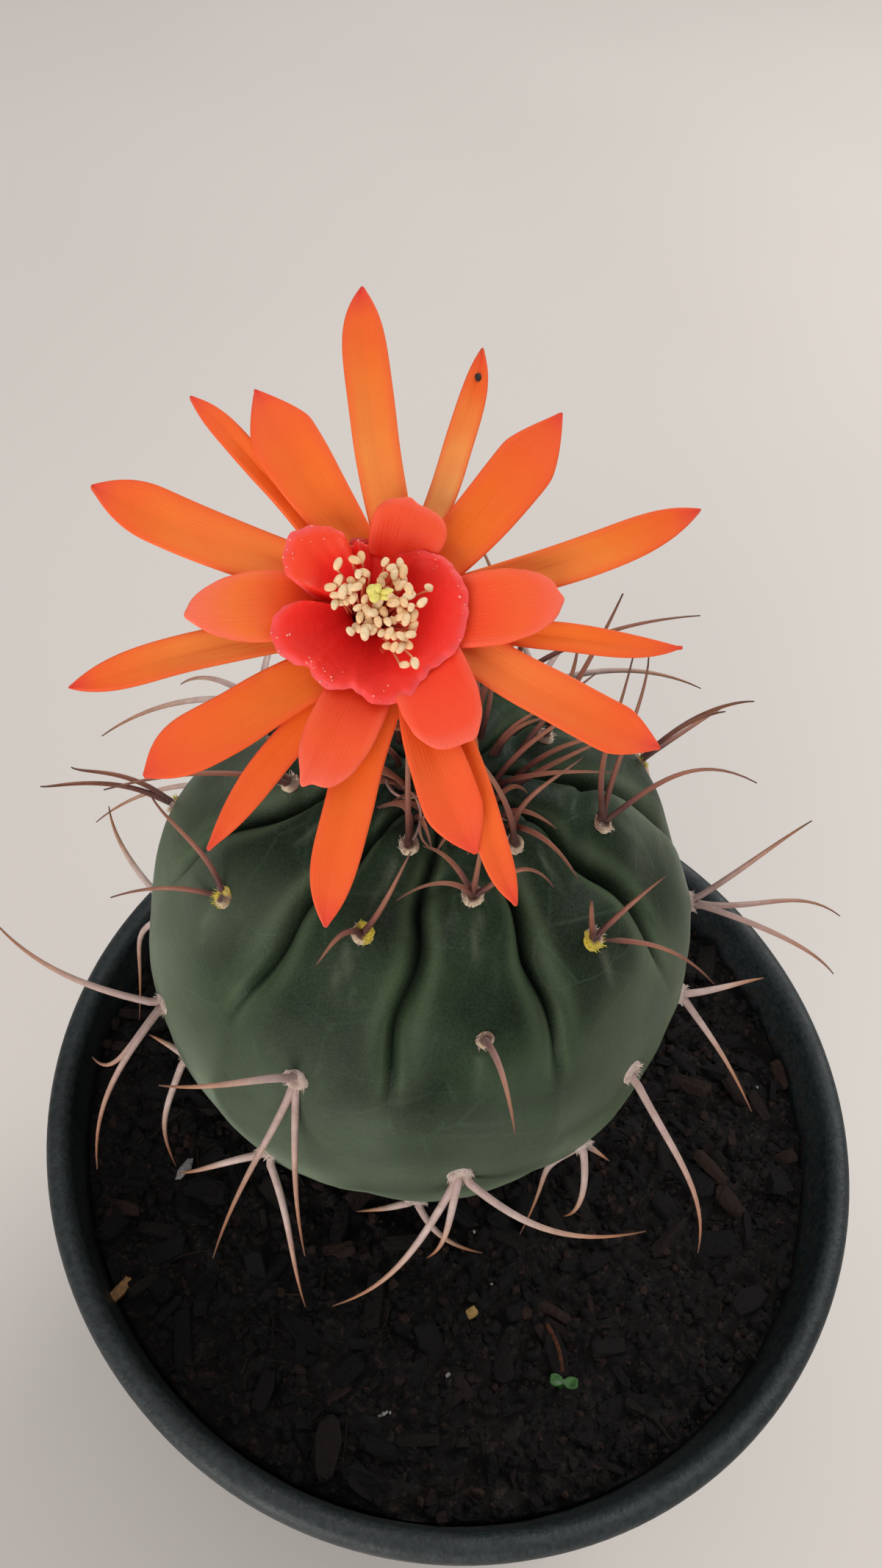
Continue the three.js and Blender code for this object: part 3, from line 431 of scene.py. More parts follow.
soil_finish, tree = new_finish("moist_mix", Roughness=0.9, Specular_IOR_Level=0.25)
earth = mix_paint(tree, mottled(tree, 160.0, 6.0, 0.35), (6, 4, 3), (14, 10, 8))
earth = mix_paint(tree, stretch(tree, mottled(tree, 700.0, 4.0, 0.3), 0.75, 1), earth, (38, 27, 22))
feed(tree, "Base Color", earth)
feed(tree, "Roughness", stretch(tree, mottled(tree, 300.0, 4.0, 0.3), 0, 1, 0.7, 1.0))
roughen(tree, mottled(tree, 900.0, 6.0, 0.6), 0.0006, 0.8)
bring_in(soil, "potting_mix", soil_finish, "soil")


def as_pattern(piece):
    """A modelled piece taken as a pattern to copy: its points and the sides between them."""
    points = [vertex.co.copy() for vertex in piece.data.vertices]
    sides = [tuple(side.vertices) for side in piece.data.polygons]
    bpy.data.objects.remove(piece)
    return points, sides


def copied(name, pattern, places, smooth=None):
    """One mesh of many copies of a pattern. Each place moves a point and has a tone."""
    points, sides = pattern
    made_points, made_sides, tones = [], [], []
    for move, tone in places:
        first = len(made_points)
        made_points += [move(point) * MM for point in points]
        made_sides += [tuple(first + corner for corner in side) for side in sides]
        tones += [tone] * len(points)
    mesh = bpy.data.meshes.new(name)
    mesh.from_pydata(made_points, [], made_sides)
    mesh.update()
    piece = bpy.data.objects.new(name, mesh)
    bpy.context.scene.collection.objects.link(piece)
    mark(piece, "tone", tones)
    if smooth:
        smooth_over(piece, smooth)
    return piece


def mark(piece, name, values):
    """A number kept at each point of a piece, or one for all, for its finish to read."""
    if not isinstance(values, list):
        values = [values] * len(piece.data.vertices)
    layer = piece.data.attributes.new(name, "FLOAT", "POINT")
    layer.data.foreach_set("value", values)


def mark_all(piece, looks):
    for name, values in looks.items():
        mark(piece, name, values)


def marked(tree, name):
    return add_node(tree, "Attribute", attribute_name=name).outputs["Fac"]


def ramp(tree, value, stops):
    """Colours along a value from 0 to 1. A stop is its place and its red, green and blue."""
    made = add_node(tree, "ValToRGB", {"Fac": value})
    elements = made.color_ramp.elements
    for element, (place, *colour) in ((elements[0], stops[0]), (elements[1], stops[-1])):
        element.position, element.color = place, paint(*colour)
    for place, *colour in stops[1:-1]:
        elements.new(place).color = paint(*colour)
    return made.outputs["Color"]


def open_ground(seed, margin=1.5):
    """A drawn spot on the mix that the stem leaves free."""
    for attempt in range(9):
        again = seed + attempt * 0.37
        radius = sqrt(draw(again)) * (soil_edge - margin)
        angle = 2 * pi * draw(again + 0.11)
        x, y = radius * cos(angle), radius * sin(angle)
        if hypot(x - STEM_CENTRE.x, y - STEM_CENTRE.y) > STEM_CLEARANCE:
            break
    return x, y


def tumbled(seed, tilt):
    """A drawn turn, lying within a tilt of flat."""
    turn = Matrix.Rotation(2 * pi * draw(seed + 0.21), 3, "Z")
    turn = Matrix.Rotation(tilt * (2 * draw(seed + 0.43) - 1), 3, "Y") @ turn
    return Matrix.Rotation(tilt * (2 * draw(seed + 0.65) - 1), 3, "X") @ turn


def rough_lump(seed, size, tilt, x, y, lift, jag):
    """Moves a pattern's point to a jagged lump of that size, lying at a spot on the mix."""
    turn = tumbled(seed, tilt)
    centre = Vector((x, y, crumbled(x, y) + lift))
    shift = Vector((seed * 3.1, seed * 1.7, seed * 0.9))

    def move(point):
        jagged = point + jag * noise.noise_vector(point * 2.3 + shift)
        return centre + turn @ Vector((jagged.x * size[0], jagged.y * size[1], jagged.z * size[2]))
    return move


crumb_pattern = as_pattern(new_piece(
    "crumb", bpy.ops.mesh.primitive_ico_sphere_add, subdivisions=1, radius=1))
crumbs = []
for k in range(CRUMB_COUNT):
    seed = 1000 + k
    x, y = open_ground(seed, 0.6)
    size = 0.35 + 1.25 * draw(seed + 0.77) ** 3
    shape = (size, size * pick(0.6, 1, seed + 0.83), size * 0.75)
    crumbs.append((rough_lump(seed, shape, 1.2, x, y, 0.1, 0.45), draw(seed + 0.91) ** 2))
loose_crumbs = copied("mix_crumbs", crumb_pattern, crumbs)

chip = new_piece("chip", bpy.ops.mesh.primitive_cube_add, size=2)
in_edit(lambda: bpy.ops.mesh.subdivide(number_cuts=2, smoothness=0.35))
chip_pattern = as_pattern(chip)
CHIP_COUNT = 25
CHIP_LENGTH = 9
CHIP_THICKNESS = 2.6
CHIP_MARGIN = 6
CHIP_CLEARANCE = 25
chips = []
for k in range(CHIP_COUNT):
    seed = k + 1
    radius = sqrt(draw(seed)) * (pot_inside(SOIL_TOP) - CHIP_MARGIN)
    angle = 2 * pi * draw(seed + 0.1)
    length = CHIP_LENGTH * pick(0.5, 1, seed + 0.2)
    width = length * pick(0.35, 0.6, seed + 0.3)
    turn = Matrix.Rotation(0.5 * (draw(seed + 0.4) - 0.5), 3, "X")
    turn = Matrix.Rotation(0.5 * (draw(seed + 0.5) - 0.5), 3, "Y") @ turn
    turn = Matrix.Rotation(pi * draw(seed + 0.6), 3, "Z") @ turn
    x, y = radius * cos(angle), radius * sin(angle)
    if hypot(x - STEM_CENTRE.x, y - STEM_CENTRE.y) < CHIP_CLEARANCE:
        continue
    centre = Vector((x, y, soil_level(x, y) + 0.5))
    shift = Vector((seed * 1.3, seed * 2.1, 0))

    def chip_point(point, turn=turn, centre=centre, shift=shift, half=(length / 2, width / 2)):
        jagged = point + 0.28 * noise.noise_vector(point * 1.4 + shift)
        taper = 1 - 0.3 * abs(jagged.x)
        shaped = Vector((jagged.x * half[0], jagged.y * half[1] * taper, jagged.z * CHIP_THICKNESS / 2))
        return centre + turn @ shaped
    chips.append((chip_point, 0.1 + 0.6 * draw(seed + 0.7)))
for k in range(FLAKE_COUNT):
    seed = 9000 + k
    x, y = open_ground(seed, 2.5)
    length = between(1.0, 4.2, draw(seed + 0.31) ** 2)
    size = (length, length * pick(0.25, 0.5, seed + 0.52), length * 0.26)
    tone = 0.9 * draw(seed + 0.13) ** 2
    chips.append((rough_lump(seed, size, 0.7, x, y, 0.25 * length * 0.4, 0.3), tone))
# An orange-brown chip near the rim, and a beige and a yellowish bit
for x, y, size, tone in (
        (64.2, 20.6, (2.6, 1.1, 0.5), 0.98), (-52.1, -43.2, (1.9, 0.8, 0.45), 1.62),
        (8.3, -36.2, (0.9, 0.7, 0.4), 1.78)):
    chips.append((rough_lump(x, size, 0.3, x, y, 0.7, 0.25), tone))
bark = copied("bark_chips", chip_pattern, chips)


def rod_pattern(sides, rings):
    """A closed rod of unit length and radius up the Z axis, with that many rings to bend at."""
    points, corners = as_pattern(raised("rod", sides, rings))
    return [Vector((point.x, point.y, point.z / (rings - 1))) for point in points], corners


def along_path(path, thick, start_side):
    """Moves a rod pattern's point to a path. Path and thick take a part from 0 to 1."""
    step = 0.01

    def move(point):
        part = min(1.0, max(0.0, point.z))
        low_part, high_part = max(0.0, part - step), min(1.0, part + step)
        way = (path(high_part) - path(low_part)).normalized()
        side = (start_side - way * start_side.dot(way)).normalized()
        across = way.cross(side)
        return path(part) + (side * point.x + across * point.y) * thick(part)
    return move


fibres = []
for k in range(FIBRE_COUNT):
    seed = 15000 + k
    x, y = open_ground(seed, 7)
    turn = 2 * pi * draw(seed + 0.2)
    length = between(2.5, 9, draw(seed + 0.3) ** 2)
    start = Vector((x, y, crumbled(x, y) + 0.5))
    run = Vector((cos(turn), sin(turn), 0.12 * (draw(seed + 0.4) - 0.3))) * length
    sway = Vector((-sin(turn), cos(turn), 0.4)) * length * 0.25 * (draw(seed + 0.5) - 0.5)
    radius = pick(0.1, 0.28, seed + 0.6)

    def fibre_path(part, start=start, run=run, sway=sway):
        return start + run * part + sway * (4 * part * (1 - part))

    def fibre_thick(part, radius=radius):
        return radius * (1 - 0.6 * part)
    fibres.append((along_path(fibre_path, fibre_thick, UP), 0.3 + 0.7 * draw(seed + 0.8)))
# The dry twig that leans by the seedling
TWIG_START = Vector((21.6, -36.0, 107.6))
TWIG_RUN = Vector((3.2, -7.4, 1.2))


def twig_path(part):
    return TWIG_START + TWIG_RUN * part + Vector((0.5, 0.2, 0.4)) * sin(pi * part)


fibres.append((along_path(twig_path, lambda part: 0.42 - 0.15 * part, UP), 1.12))
fibre_piece = copied("bark_fibres", rod_pattern(4, 6), fibres, 60)

bark_finish, tree = new_finish("bark_bits", Roughness=0.88, Specular_IOR_Level=0.25)
bark_paint = ramp(tree, times(tree, marked(tree, "tone"), 0.5), [
    (0.0, 7, 5, 5), (0.15, 13, 10, 9), (0.34, 25, 18, 15), (0.5, 52, 34, 26), (0.66, 126, 68, 38),
    (0.86, 168, 132, 88), (0.97, 190, 160, 70)])
grain = mottled(tree, 1100.0, 5.0, 0.45)
feed(tree, "Base Color", tinted(tree, bark_paint, grain, 0.55, (16, 11, 9)))
roughen(tree, grain, 0.0003, 0.8)
for piece in (loose_crumbs, bark, fibre_piece):
    bring_in(piece, "potting_mix", bark_finish)

# Perlite: a few white bits of it in the mix, the largest in front
perlite = []
for k in range(PERLITE_COUNT):
    seed = 21000 + k
    x, y = open_ground(seed, 3)
    size = pick(0.25, 0.6, seed + 0.3)
    perlite.append((rough_lump(seed, (size, size * 0.8, size * 0.7), 1, x, y, 0.35, 0.4), 0.5))
# A whitish husk that lies where a spine on the left ends
perlite.append((rough_lump(8, (3.2, 1.1, 0.8), 0.9, -47.2, -21.2, 1.0, 0.3), 0.9))
perlite.append((rough_lump(5, (1.0, 0.8, 0.7), 1, -4.3, -54.3, 0.6, 0.35), 0.5))
perlite_bits = copied("perlite_bits", crumb_pattern, perlite)


def speckled(name, blotches, first, second, relief, depth, strength, **plain):
    """A finish of two colours in soft blotches with a low relief."""
    finish, tree = new_finish(name, **plain)
    feed(tree, "Base Color", mix_paint(tree, mottled(tree, *blotches), first, second))
    roughen(tree, mottled(tree, *relief), depth, strength)
    return finish


bring_in(perlite_bits, "potting_mix", speckled(
    "perlite", (1500.0, 3.0, 0.4), (172, 168, 166), (112, 104, 104), (2600.0, 4.0, 0.5), 0.0002, 0.8,
    Roughness=0.9))


# Stem: a ball-shaped succulent body, widest below its middle, of ten low ribs. Its waxy skin
# is dark blue-green with a grey bloom, and thin sharp grooves part the ribs above and fade
# out low down. Each rib swells under its areoles, and old skin has pale streaks and creases.
# Light and shade are also painted into its colour: shade in the grooves, in the creases and
# over the crown, highlights on the groove shoulders, a sheen on both sides, and paler skin
# on the low, downward-facing front.
RIB_COUNT = 10
FIRST_RIB_TURN = -144
HALF_RIB = 180 / RIB_COUNT
CROWN_DIP = 4
CROWN_FROM = 66
GROOVE_DEPTH = 3.4
GROOVE_FROM = 12
GROOVE_FULL = 55
GROOVE_SHARPNESS = 6
LOW_GROOVE_SHARPNESS = 12
HIGH_GROOVE_SHARPNESS = 3
GROOVE_SWAY = 1.0
GROOVE_CUT = 0.75
CREASE_RISE = 5.4
CREASE_ARCH = 7
CREASE_WIDTH = 1.8
CREASE_DEPTH = 1.7
SWELL_LOW = 0.7
SWELL_HIGH = 2
CROWN_AREOLE = 81
AREOLES = [
    [70, 42, 7.5, -20],
    [71.5, 55, 24.5, -10.5],
    [64.5, 40, 5.5, -22],
    [71, 49.5, 15.5, -10],
    [60, 20, 5.5],
    [70, 35, -4],
    [60, 28, -9],
    [71, 47, 13, -18],
    [60, 26, -10],
    [60.5, 20, -17],
]
STEM_COLUMNS = 26
STEM_ROWS = 164


def rib_turn(rib):
    return FIRST_RIB_TURN + 360 / RIB_COUNT * rib


def areole_marks(rib):
    heights = AREOLES[rib % RIB_COUNT]
    return [CROWN_AREOLE + 7, *heights, heights[-1] - 45]


def swell_at(rib, height):
    """How full the rib is: 1 at an areole, -1 half way between two."""
    marks = areole_marks(rib)
    for upper, lower in zip(marks, marks[1:]):
        if lower < height <= upper:
            return cos(2 * pi * (upper - height) / (upper - lower))
    return 1 if height > 0 else -1


def groove_strength(height):
    return eased(GROOVE_FROM, GROOVE_FULL, height)


def fine_strength(height):
    """How strongly the thin line in a groove shows: it is gone below the stem's widest part."""
    return groove_strength(height) * eased(20, 34, height)


def groove_turn(rib, height):
    sway = GROOVE_SWAY * groove_strength(height) * (1 - eased(76, 86, height))
    return rib_turn(rib) + HALF_RIB + sway * (swell_at(rib, height) - swell_at(rib + 1, height))


def stem_way(turn, height):
    """The direction out of the stem's middle at a turn and a height in degrees."""
    turn, height = radians(turn), radians(height)
    return Vector((cos(height) * cos(turn), cos(height) * sin(turn), sin(height)))


def crease_at(rib, across, height):
    """The notch that arches over each upper areole, from 0 to 1."""
    deepest = 0.0
    for mark_height in AREOLES[rib]:
        middle = mark_height + CREASE_RISE - CREASE_ARCH * across * across
        near = exp(-((height - middle) / CREASE_WIDTH) ** 2)
        deepest = max(deepest, near * eased(52, 62, mark_height))
    return deepest * (1 - 0.35 * across * across)


def stem_point(rib, across, height, fine=True):
    """A point of the stem's skin, in millimetres from the pot's base."""
    groove = groove_turn(rib, height) if across > 0 else groove_turn(rib - 1, height)
    turn = between(rib_turn(rib), groove, abs(across))
    half_rib = STEM_RADIUS * cos(radians(height)) * pi / RIB_COUNT
    depth = min(GROOVE_DEPTH * groove_strength(height), 0.5 * half_rib)
    sharpness = between(LOW_GROOVE_SHARPNESS, HIGH_GROOVE_SHARPNESS, eased(34, 68, height))
    swell = between(SWELL_LOW, SWELL_HIGH, eased(0, 60, height)) * eased(-48, -30, height)
    crown = eased(CROWN_FROM, 90, height)
    radius = STEM_RADIUS - CROWN_DIP * crown * crown
    radius += 0.5 * swell * (1 - crown) * (1 + swell_at(rib, height)) * (1 - across * across)
    radius -= depth * abs(across) ** GROOVE_SHARPNESS
    way = stem_way(turn, height)
    if fine:
        deeper = 0.8 + 0.5 * eased(44, 62, height)
        deeper *= between(0.2, 1, eased(22, 38, height))
        radius += depth * (abs(across) ** GROOVE_SHARPNESS - deeper * abs(across) ** sharpness)
        radius -= GROOVE_CUT * fine_strength(height) * eased(0.86, 1, abs(across))
        radius -= CREASE_DEPTH * crease_at(rib, across, height) * (1 - crown)
        radius += 0.22 * noise.noise(way * 7.5) + 0.07 * noise.noise(way * 24)
    return STEM_CENTRE + way * radius


stem = new_piece(
    "stem_body", bpy.ops.mesh.primitive_uv_sphere_add,
    segments=RIB_COUNT * STEM_COLUMNS, ring_count=STEM_ROWS, radius=STEM_RADIUS * MM)
looks = {"groove": [], "shoulder": [], "scar": [], "crease": [], "bloom": []}
for vertex in stem.data.vertices:
    spot = vertex.co / MM
    height = degrees(asin(max(-1.0, min(1.0, spot.z / STEM_RADIUS))))
    turn = degrees(atan2(spot.y, spot.x)) - FIRST_RIB_TURN + HALF_RIB
    rib = int(floor(turn / (2 * HALF_RIB))) % RIB_COUNT
    even = (turn % (2 * HALF_RIB)) / HALF_RIB - 1
    across = (1 - (1 - abs(even)) ** 1.45) * (1 if even >= 0 else -1)
    vertex.co = stem_point(rib, across, height) * MM
    strength = fine_strength(height)
    # Painted shade: a dark line down each groove, and dark over the crown under the flower
    line = strength * abs(across) ** between(22, 7, eased(36, 62, height))
    looks["groove"].append(max(line, 0.85 * eased(69, 79, height)))
    # Painted highlight along the rounded shoulders beside the upper grooves, where they catch the light,
    # and a thin pale line low down where a groove fades out
    lower = eased(22, 30, height) * (1 - eased(36, 54, height))
    broad_shoulder_highlight = strength * exp(-((abs(across) - 0.74) / 0.13) ** 2)
    looks["shoulder"].append(max(broad_shoulder_highlight, 0.9 * lower * exp(-((abs(across) - 0.87) / 0.07) ** 2)))
    looks["crease"].append(crease_at(rib, across, height))
    # Paler grey skin: partly real bloom and old skin low down, partly painted light. The left and right
    # sides get a painted sheen, and the low, downward-facing skin is painted lighter as if lit from the
    # front and below.
    way = stem_way(turn + FIRST_RIB_TURN - HALF_RIB, height)
    patchy = 0.3 * noise.noise(way * 3.1)
    side_bloom_and_painted_sheen = 0.55 * eased(0.5, 1.0, -way.x + patchy) + 0.4 * eased(0.6, 0.9, way.x + patchy)
    low_bloom_and_painted_light = 0.44 * (1 - eased(6, 36, height + 45 * patchy))
    looks["bloom"].append(min(1.0, side_bloom_and_painted_sheen + low_bloom_and_painted_light + eased(-0.05, 0.5, -way.z + patchy)))
    scar = 0.0
    for mark_height in AREOLES[rib]:
        below_mark = mark_height - height
        if 2 < below_mark < 16:
            wander = 0.05 * noise.noise(Vector((rib * 5, mark_height, height * 0.3)))
            line = exp(-((across - wander - 0.04) / 0.06) ** 2)
            scar = max(scar, line * (1 - eased(6, 15, below_mark)) * eased(2, 4, below_mark))
    looks["scar"].append(scar)
in_edit(face_out)
mark_all(stem, looks)
smooth_over(stem, 75)

skin_finish, tree = new_finish(
    "waxy_skin", Roughness=0.55, Specular_IOR_Level=0.12, Sheen_Weight=0.03, Sheen_Roughness=0.5,
    Sheen_Tint=paint(170, 184, 160), Subsurface_Weight=0.06, Subsurface_Scale=0.002,
    Subsurface_Radius=(0.3, 0.7, 0.3))
skin = mix_paint(tree, mottled(tree, 38.0, 3.0, 0.4), (9, 18, 8), (19, 33, 16))
bloom = times(tree, times(tree, mottled(tree, 75.0, 5.0, 0.5), mottled(tree, 21.0, 3.0, 0.3)), 0.5)
skin = mix_paint(tree, bloom, skin, (62, 82, 52))
# Painted highlight on the groove shoulders, and the thin pale line low down
skin = tinted(tree, skin, marked(tree, "shoulder"), 0.4, (96, 112, 80))
# Paler skin where the bloom values are high: real bloom, and painted light on the sides and the lower
# front
pale_skin_and_painted_light = times(
    tree, marked(tree, "bloom"), stretch(tree, mottled(tree, 55.0, 4.0, 0.5), 0, 1, 0.65, 1.0))
skin = mix_paint(tree, pale_skin_and_painted_light, skin, mix_paint(
    tree, mottled(tree, 30.0, 3.0, 0.35), (104, 118, 90), (134, 145, 126)))


def drawn_out(tree, share):
    """Object coordinates with their height scaled, so that a pattern runs up or across."""
    return add_node(tree, "Mapping", {
        "Vector": add_node(tree, "TexCoord").outputs["Object"], "Scale": (1, 1, share)}).outputs["Vector"]


streaks = add_node(tree, "TexNoise", {
    "Vector": drawn_out(tree, 0.35), "Scale": 210.0, "Detail": 5.0, "Distortion": 1.2}).outputs[0]
skin = tinted(tree, skin, stretch(tree, streaks, 0.62, 0.78), 0.1, (118, 134, 108))
cracks = add_node(tree, "TexVoronoi", {
    "Vector": drawn_out(tree, 2.1), "Scale": 62.0}, feature="DISTANCE_TO_EDGE").outputs["Distance"]
cracks = times(tree, stretch(tree, cracks, 0.0, 0.03, 1.0, 0.0), mottled(tree, 48.0, 3.0, 0.3))
skin = tinted(tree, skin, cracks, 0.1, (104, 124, 104))
skin = tinted(tree, skin, marked(tree, "scar"), 0.22, (140, 146, 122))
# Painted shade in the notches that arch over the upper areoles
skin = tinted(tree, skin, marked(tree, "crease"), 0.5, (30, 50, 38))
# Painted shade in the grooves and over the crown
skin = tinted(tree, skin, marked(tree, "groove"), 0.85, (15, 26, 20))
pores = mottled(tree, 2600.0, 2.0, 0.35)
skin = tinted(tree, skin, pores, 0.06, (120, 140, 120))
feed(tree, "Base Color", skin)
feed(tree, "Roughness", stretch(tree, mottled(tree, 90.0, 4.0, 0.4), 0, 1, 0.42, 0.62))
relief = sum_up(tree, "SUBTRACT", times(tree, pores, 0.3), times(tree, cracks, 0.5))
roughen(tree, relief, 0.0002, 0.6)
bring_in(stem, "cactus_skin", skin_finish, "cactus_stem")


# Areoles: woolly cushions that grow on the ribs. The young ones are yellow on one side with a
# cream ring round a dark middle; the old ones low down are rounded discs of pinkish felt.
OLD_AREOLE_RADIUS = 1.9
YOUNG_AREOLE_RADIUS = 1.6
HAIRS_EACH = 64
HAIR_RADIUS = 0.075
# How many degrees some areoles sit to one side of their rib's middle
AREOLE_SHIFTS = {
    (1, 0): 4, (1, 1): 2, (1, 3): -4, (2, 1): 1, (2, 2): -1.5, (2, 3): -7, (3, 0): -8,
    (3, 1): -1, (3, 3): -7, (4, 0): -4, (4, 1): 5.5, (4, 2): -8.5, (9, 0): 11.5, (9, 1): -5,
}
# Which way the yellow side of a young areole lies, clockwise from uphill
YELLOW_SIDES = {(0, 1): -70, (1, 1): 45, (3, 1): 250, (9, 1): 190, (5, 1): 170, (7, 1): 120}
# How weathered an areole and its spines are where their height alone doesn't tell
AGES = {
    (9, 1): 0.05, (5, 1): 0.05, (4, 1): 0.5, (0, 2): 0.75, (1, 2): 0.85, (2, 1): 0.35, (3, 2): 0.8,
}
# The low areole whose felt is still a ring round a dark middle
RINGED_AREOLE = (2, 1)
AREOLE_SIZES = {(2, 1): 0.85, (2, 0): 1.05, (3, 1): 1.1, (1, 2): 1.05, (3, 2): 1.1, (2, 2): 1.15}


def areole_frame(rib, height, shift=0):
    """Where an areole sits, and its way out, its way uphill and its right."""
    outward = stem_way(rib_turn(rib) + shift, height)
    uphill = (UP - outward * outward.z).normalized()
    point = stem_point(rib, shift / HALF_RIB, height, fine=False)
    return point, outward, uphill, uphill.cross(outward)


def age_of(rib, k, height):
    return AGES.get((rib, k), 1 - eased(24, 38, height))


cushion_pattern = as_pattern(new_piece(
    "cushion", bpy.ops.mesh.primitive_uv_sphere_add, segments=18, ring_count=10, radius=1))
hair_pattern = rod_pattern(3, 4)
all_areoles = [(rib, k, height) for rib in range(RIB_COUNT) for k, height in enumerate(AREOLES[rib])]
cushions, hairs = [], []
felt_marks = {"ring": [], "yellow": [], "low": []}
for rib, k, height in all_areoles:
    point, outward, uphill, right = areole_frame(rib, height, AREOLE_SHIFTS.get((rib, k), 0))
    is_yellow = (rib, k) in YELLOW_SIDES
    young = 1 if (rib, k) == RINGED_AREOLE else 1 - age_of(rib, k, height)
    size = between(OLD_AREOLE_RADIUS, YOUNG_AREOLE_RADIUS, young)
    size *= AREOLE_SIZES.get((rib, k), pick(0.92, 1.05, rib * 7 + k))
    shift = Vector((rib * 2.1, k * 3.7, 0))
    yellow_way = radians(YELLOW_SIDES.get((rib, k), 0))

    def cushion_point(spot, point=point, outward=outward, uphill=uphill, right=right,
                      size=size, shift=shift, young=young):
        edge = hypot(spot.x, spot.y)
        rise = spot.z * 0.95 if spot.z > 0 else spot.z * 0.8
        rise -= between(0.25, 0.6, young) * exp(-(edge / 0.42) ** 2) * (1 if spot.z > 0 else 0)
        lump = 1 + 0.16 * noise.noise(spot * 2.6 + shift)
        flat = (right * spot.x + uphill * spot.y) * size * lump
        return point + flat + outward * (rise * lump - 0.15)
    cushions.append((cushion_point, young))
    for spot in cushion_pattern[0]:
        edge = hypot(spot.x, spot.y)
        toward = (spot.y * cos(yellow_way) + spot.x * sin(yellow_way)) / max(0.2, edge)
        felt_marks["ring"].append(edge)
        felt_marks["yellow"].append(eased(-0.4, 0.1, toward) if is_yellow else 0)
        felt_marks["low"].append(eased(-0.5, 0.6, -spot.y / max(0.2, edge)))
    for n in range(HAIRS_EACH):
        seed = rib * 977 + k * 131 + n + 30000
        angle = 2 * pi * draw(seed)
        if young > 0.5 and cos(angle) > 0.2 and not is_yellow:
            continue
        reach = size * between(0.5, 1.0, sqrt(draw(seed + 0.3)))
        flat = right * cos(angle) + uphill * sin(angle)
        root = point + flat * reach * 0.9 + outward * between(0.45, 0.1, reach / size)
        lean = flat * pick(0.1, 0.75, seed + 0.5) + outward * pick(0.5, 0.95, seed + 0.6)
        swirl = flat.cross(outward) * (draw(seed + 0.7) - 0.5)
        length = pick(0.45, 1.05, seed + 0.8)
        on_yellow_side = is_yellow and cos(angle - yellow_way) > -0.2

        def hair_path(part, root=root, lean=lean, swirl=swirl, length=length):
            return root + (lean * part + swirl * part * part) * length
        hair_tone = 1.5 if on_yellow_side else pick(0.0, 0.6, seed + 0.9)
        hairs.append((along_path(
            hair_path, lambda part: HAIR_RADIUS * (1 - 0.7 * part), swirl.normalized()), hair_tone))
areole_cushions = copied("areole_cushions", cushion_pattern, cushions, 80)
areole_wool = copied("areole_wool", hair_pattern, hairs, 80)
mark_all(areole_cushions, felt_marks)

felt_finish, tree = new_finish(
    "areole_felt", Roughness=0.95, Specular_IOR_Level=0.15, Sheen_Weight=0.3, Sheen_Roughness=0.6,
    Sheen_Tint=paint(235, 220, 205))
ring = marked(tree, "ring")
young_felt = mix_paint(tree, marked(tree, "low"), ramp(tree, ring, [
    (0.0, 46, 26, 24), (0.5, 74, 48, 40), (1.0, 150, 118, 98)]), ramp(tree, ring, [
    (0.0, 46, 26, 24), (0.42, 88, 56, 46), (0.62, 214, 186, 156), (1.0, 232, 212, 180)]))
old_felt = ramp(tree, ring, [
    (0.0, 150, 122, 108), (0.5, 206, 182, 170), (1.0, 220, 202, 192)])
felt = mix_paint(tree, marked(tree, "tone"), old_felt, young_felt)
felt = tinted(tree, felt, mottled(tree, 900.0, 4.0, 0.4), 0.3, (128, 104, 92))
felt = tinted(tree, felt, marked(tree, "yellow"), stretch(tree, ring, 0.2, 0.5), (204, 178, 58))
feed(tree, "Base Color", felt)
roughen(tree, mottled(tree, 2400.0, 4.0, 0.5), 0.0003, 0.9)
bring_in(areole_cushions, "cactus_skin", felt_finish)

wool_finish, tree = new_finish("areole_hairs", Roughness=0.85, Specular_IOR_Level=0.2)
feed(tree, "Base Color", ramp(tree, times(tree, marked(tree, "tone"), 0.5), [
    (0.0, 226, 212, 200), (0.35, 206, 184, 168), (0.6, 222, 208, 120), (0.8, 216, 204, 66)]))
roughen(tree, mottled(tree, 5200.0, 2.0, 0.5), 0.0001, 0.5)
bring_in(areole_wool, "cactus_skin", wool_finish)


# Spines: stiff curved thorns that grow in small groups out of the areoles. Young ones are dark
# purplish brown; the old ones low down have weathered to pinkish grey with brown outer ends.
SPINE_RADIUS = 0.62
SPINE_TIP = 0.1
SPINE_SINK = 1.6
SPINE_SIDES = 9
SPINE_RINGS = 17
CROWN_SPINE_LENGTH = 30
HIDDEN_SPINE_LENGTH = 28
CURL_RADIUS = 0.24
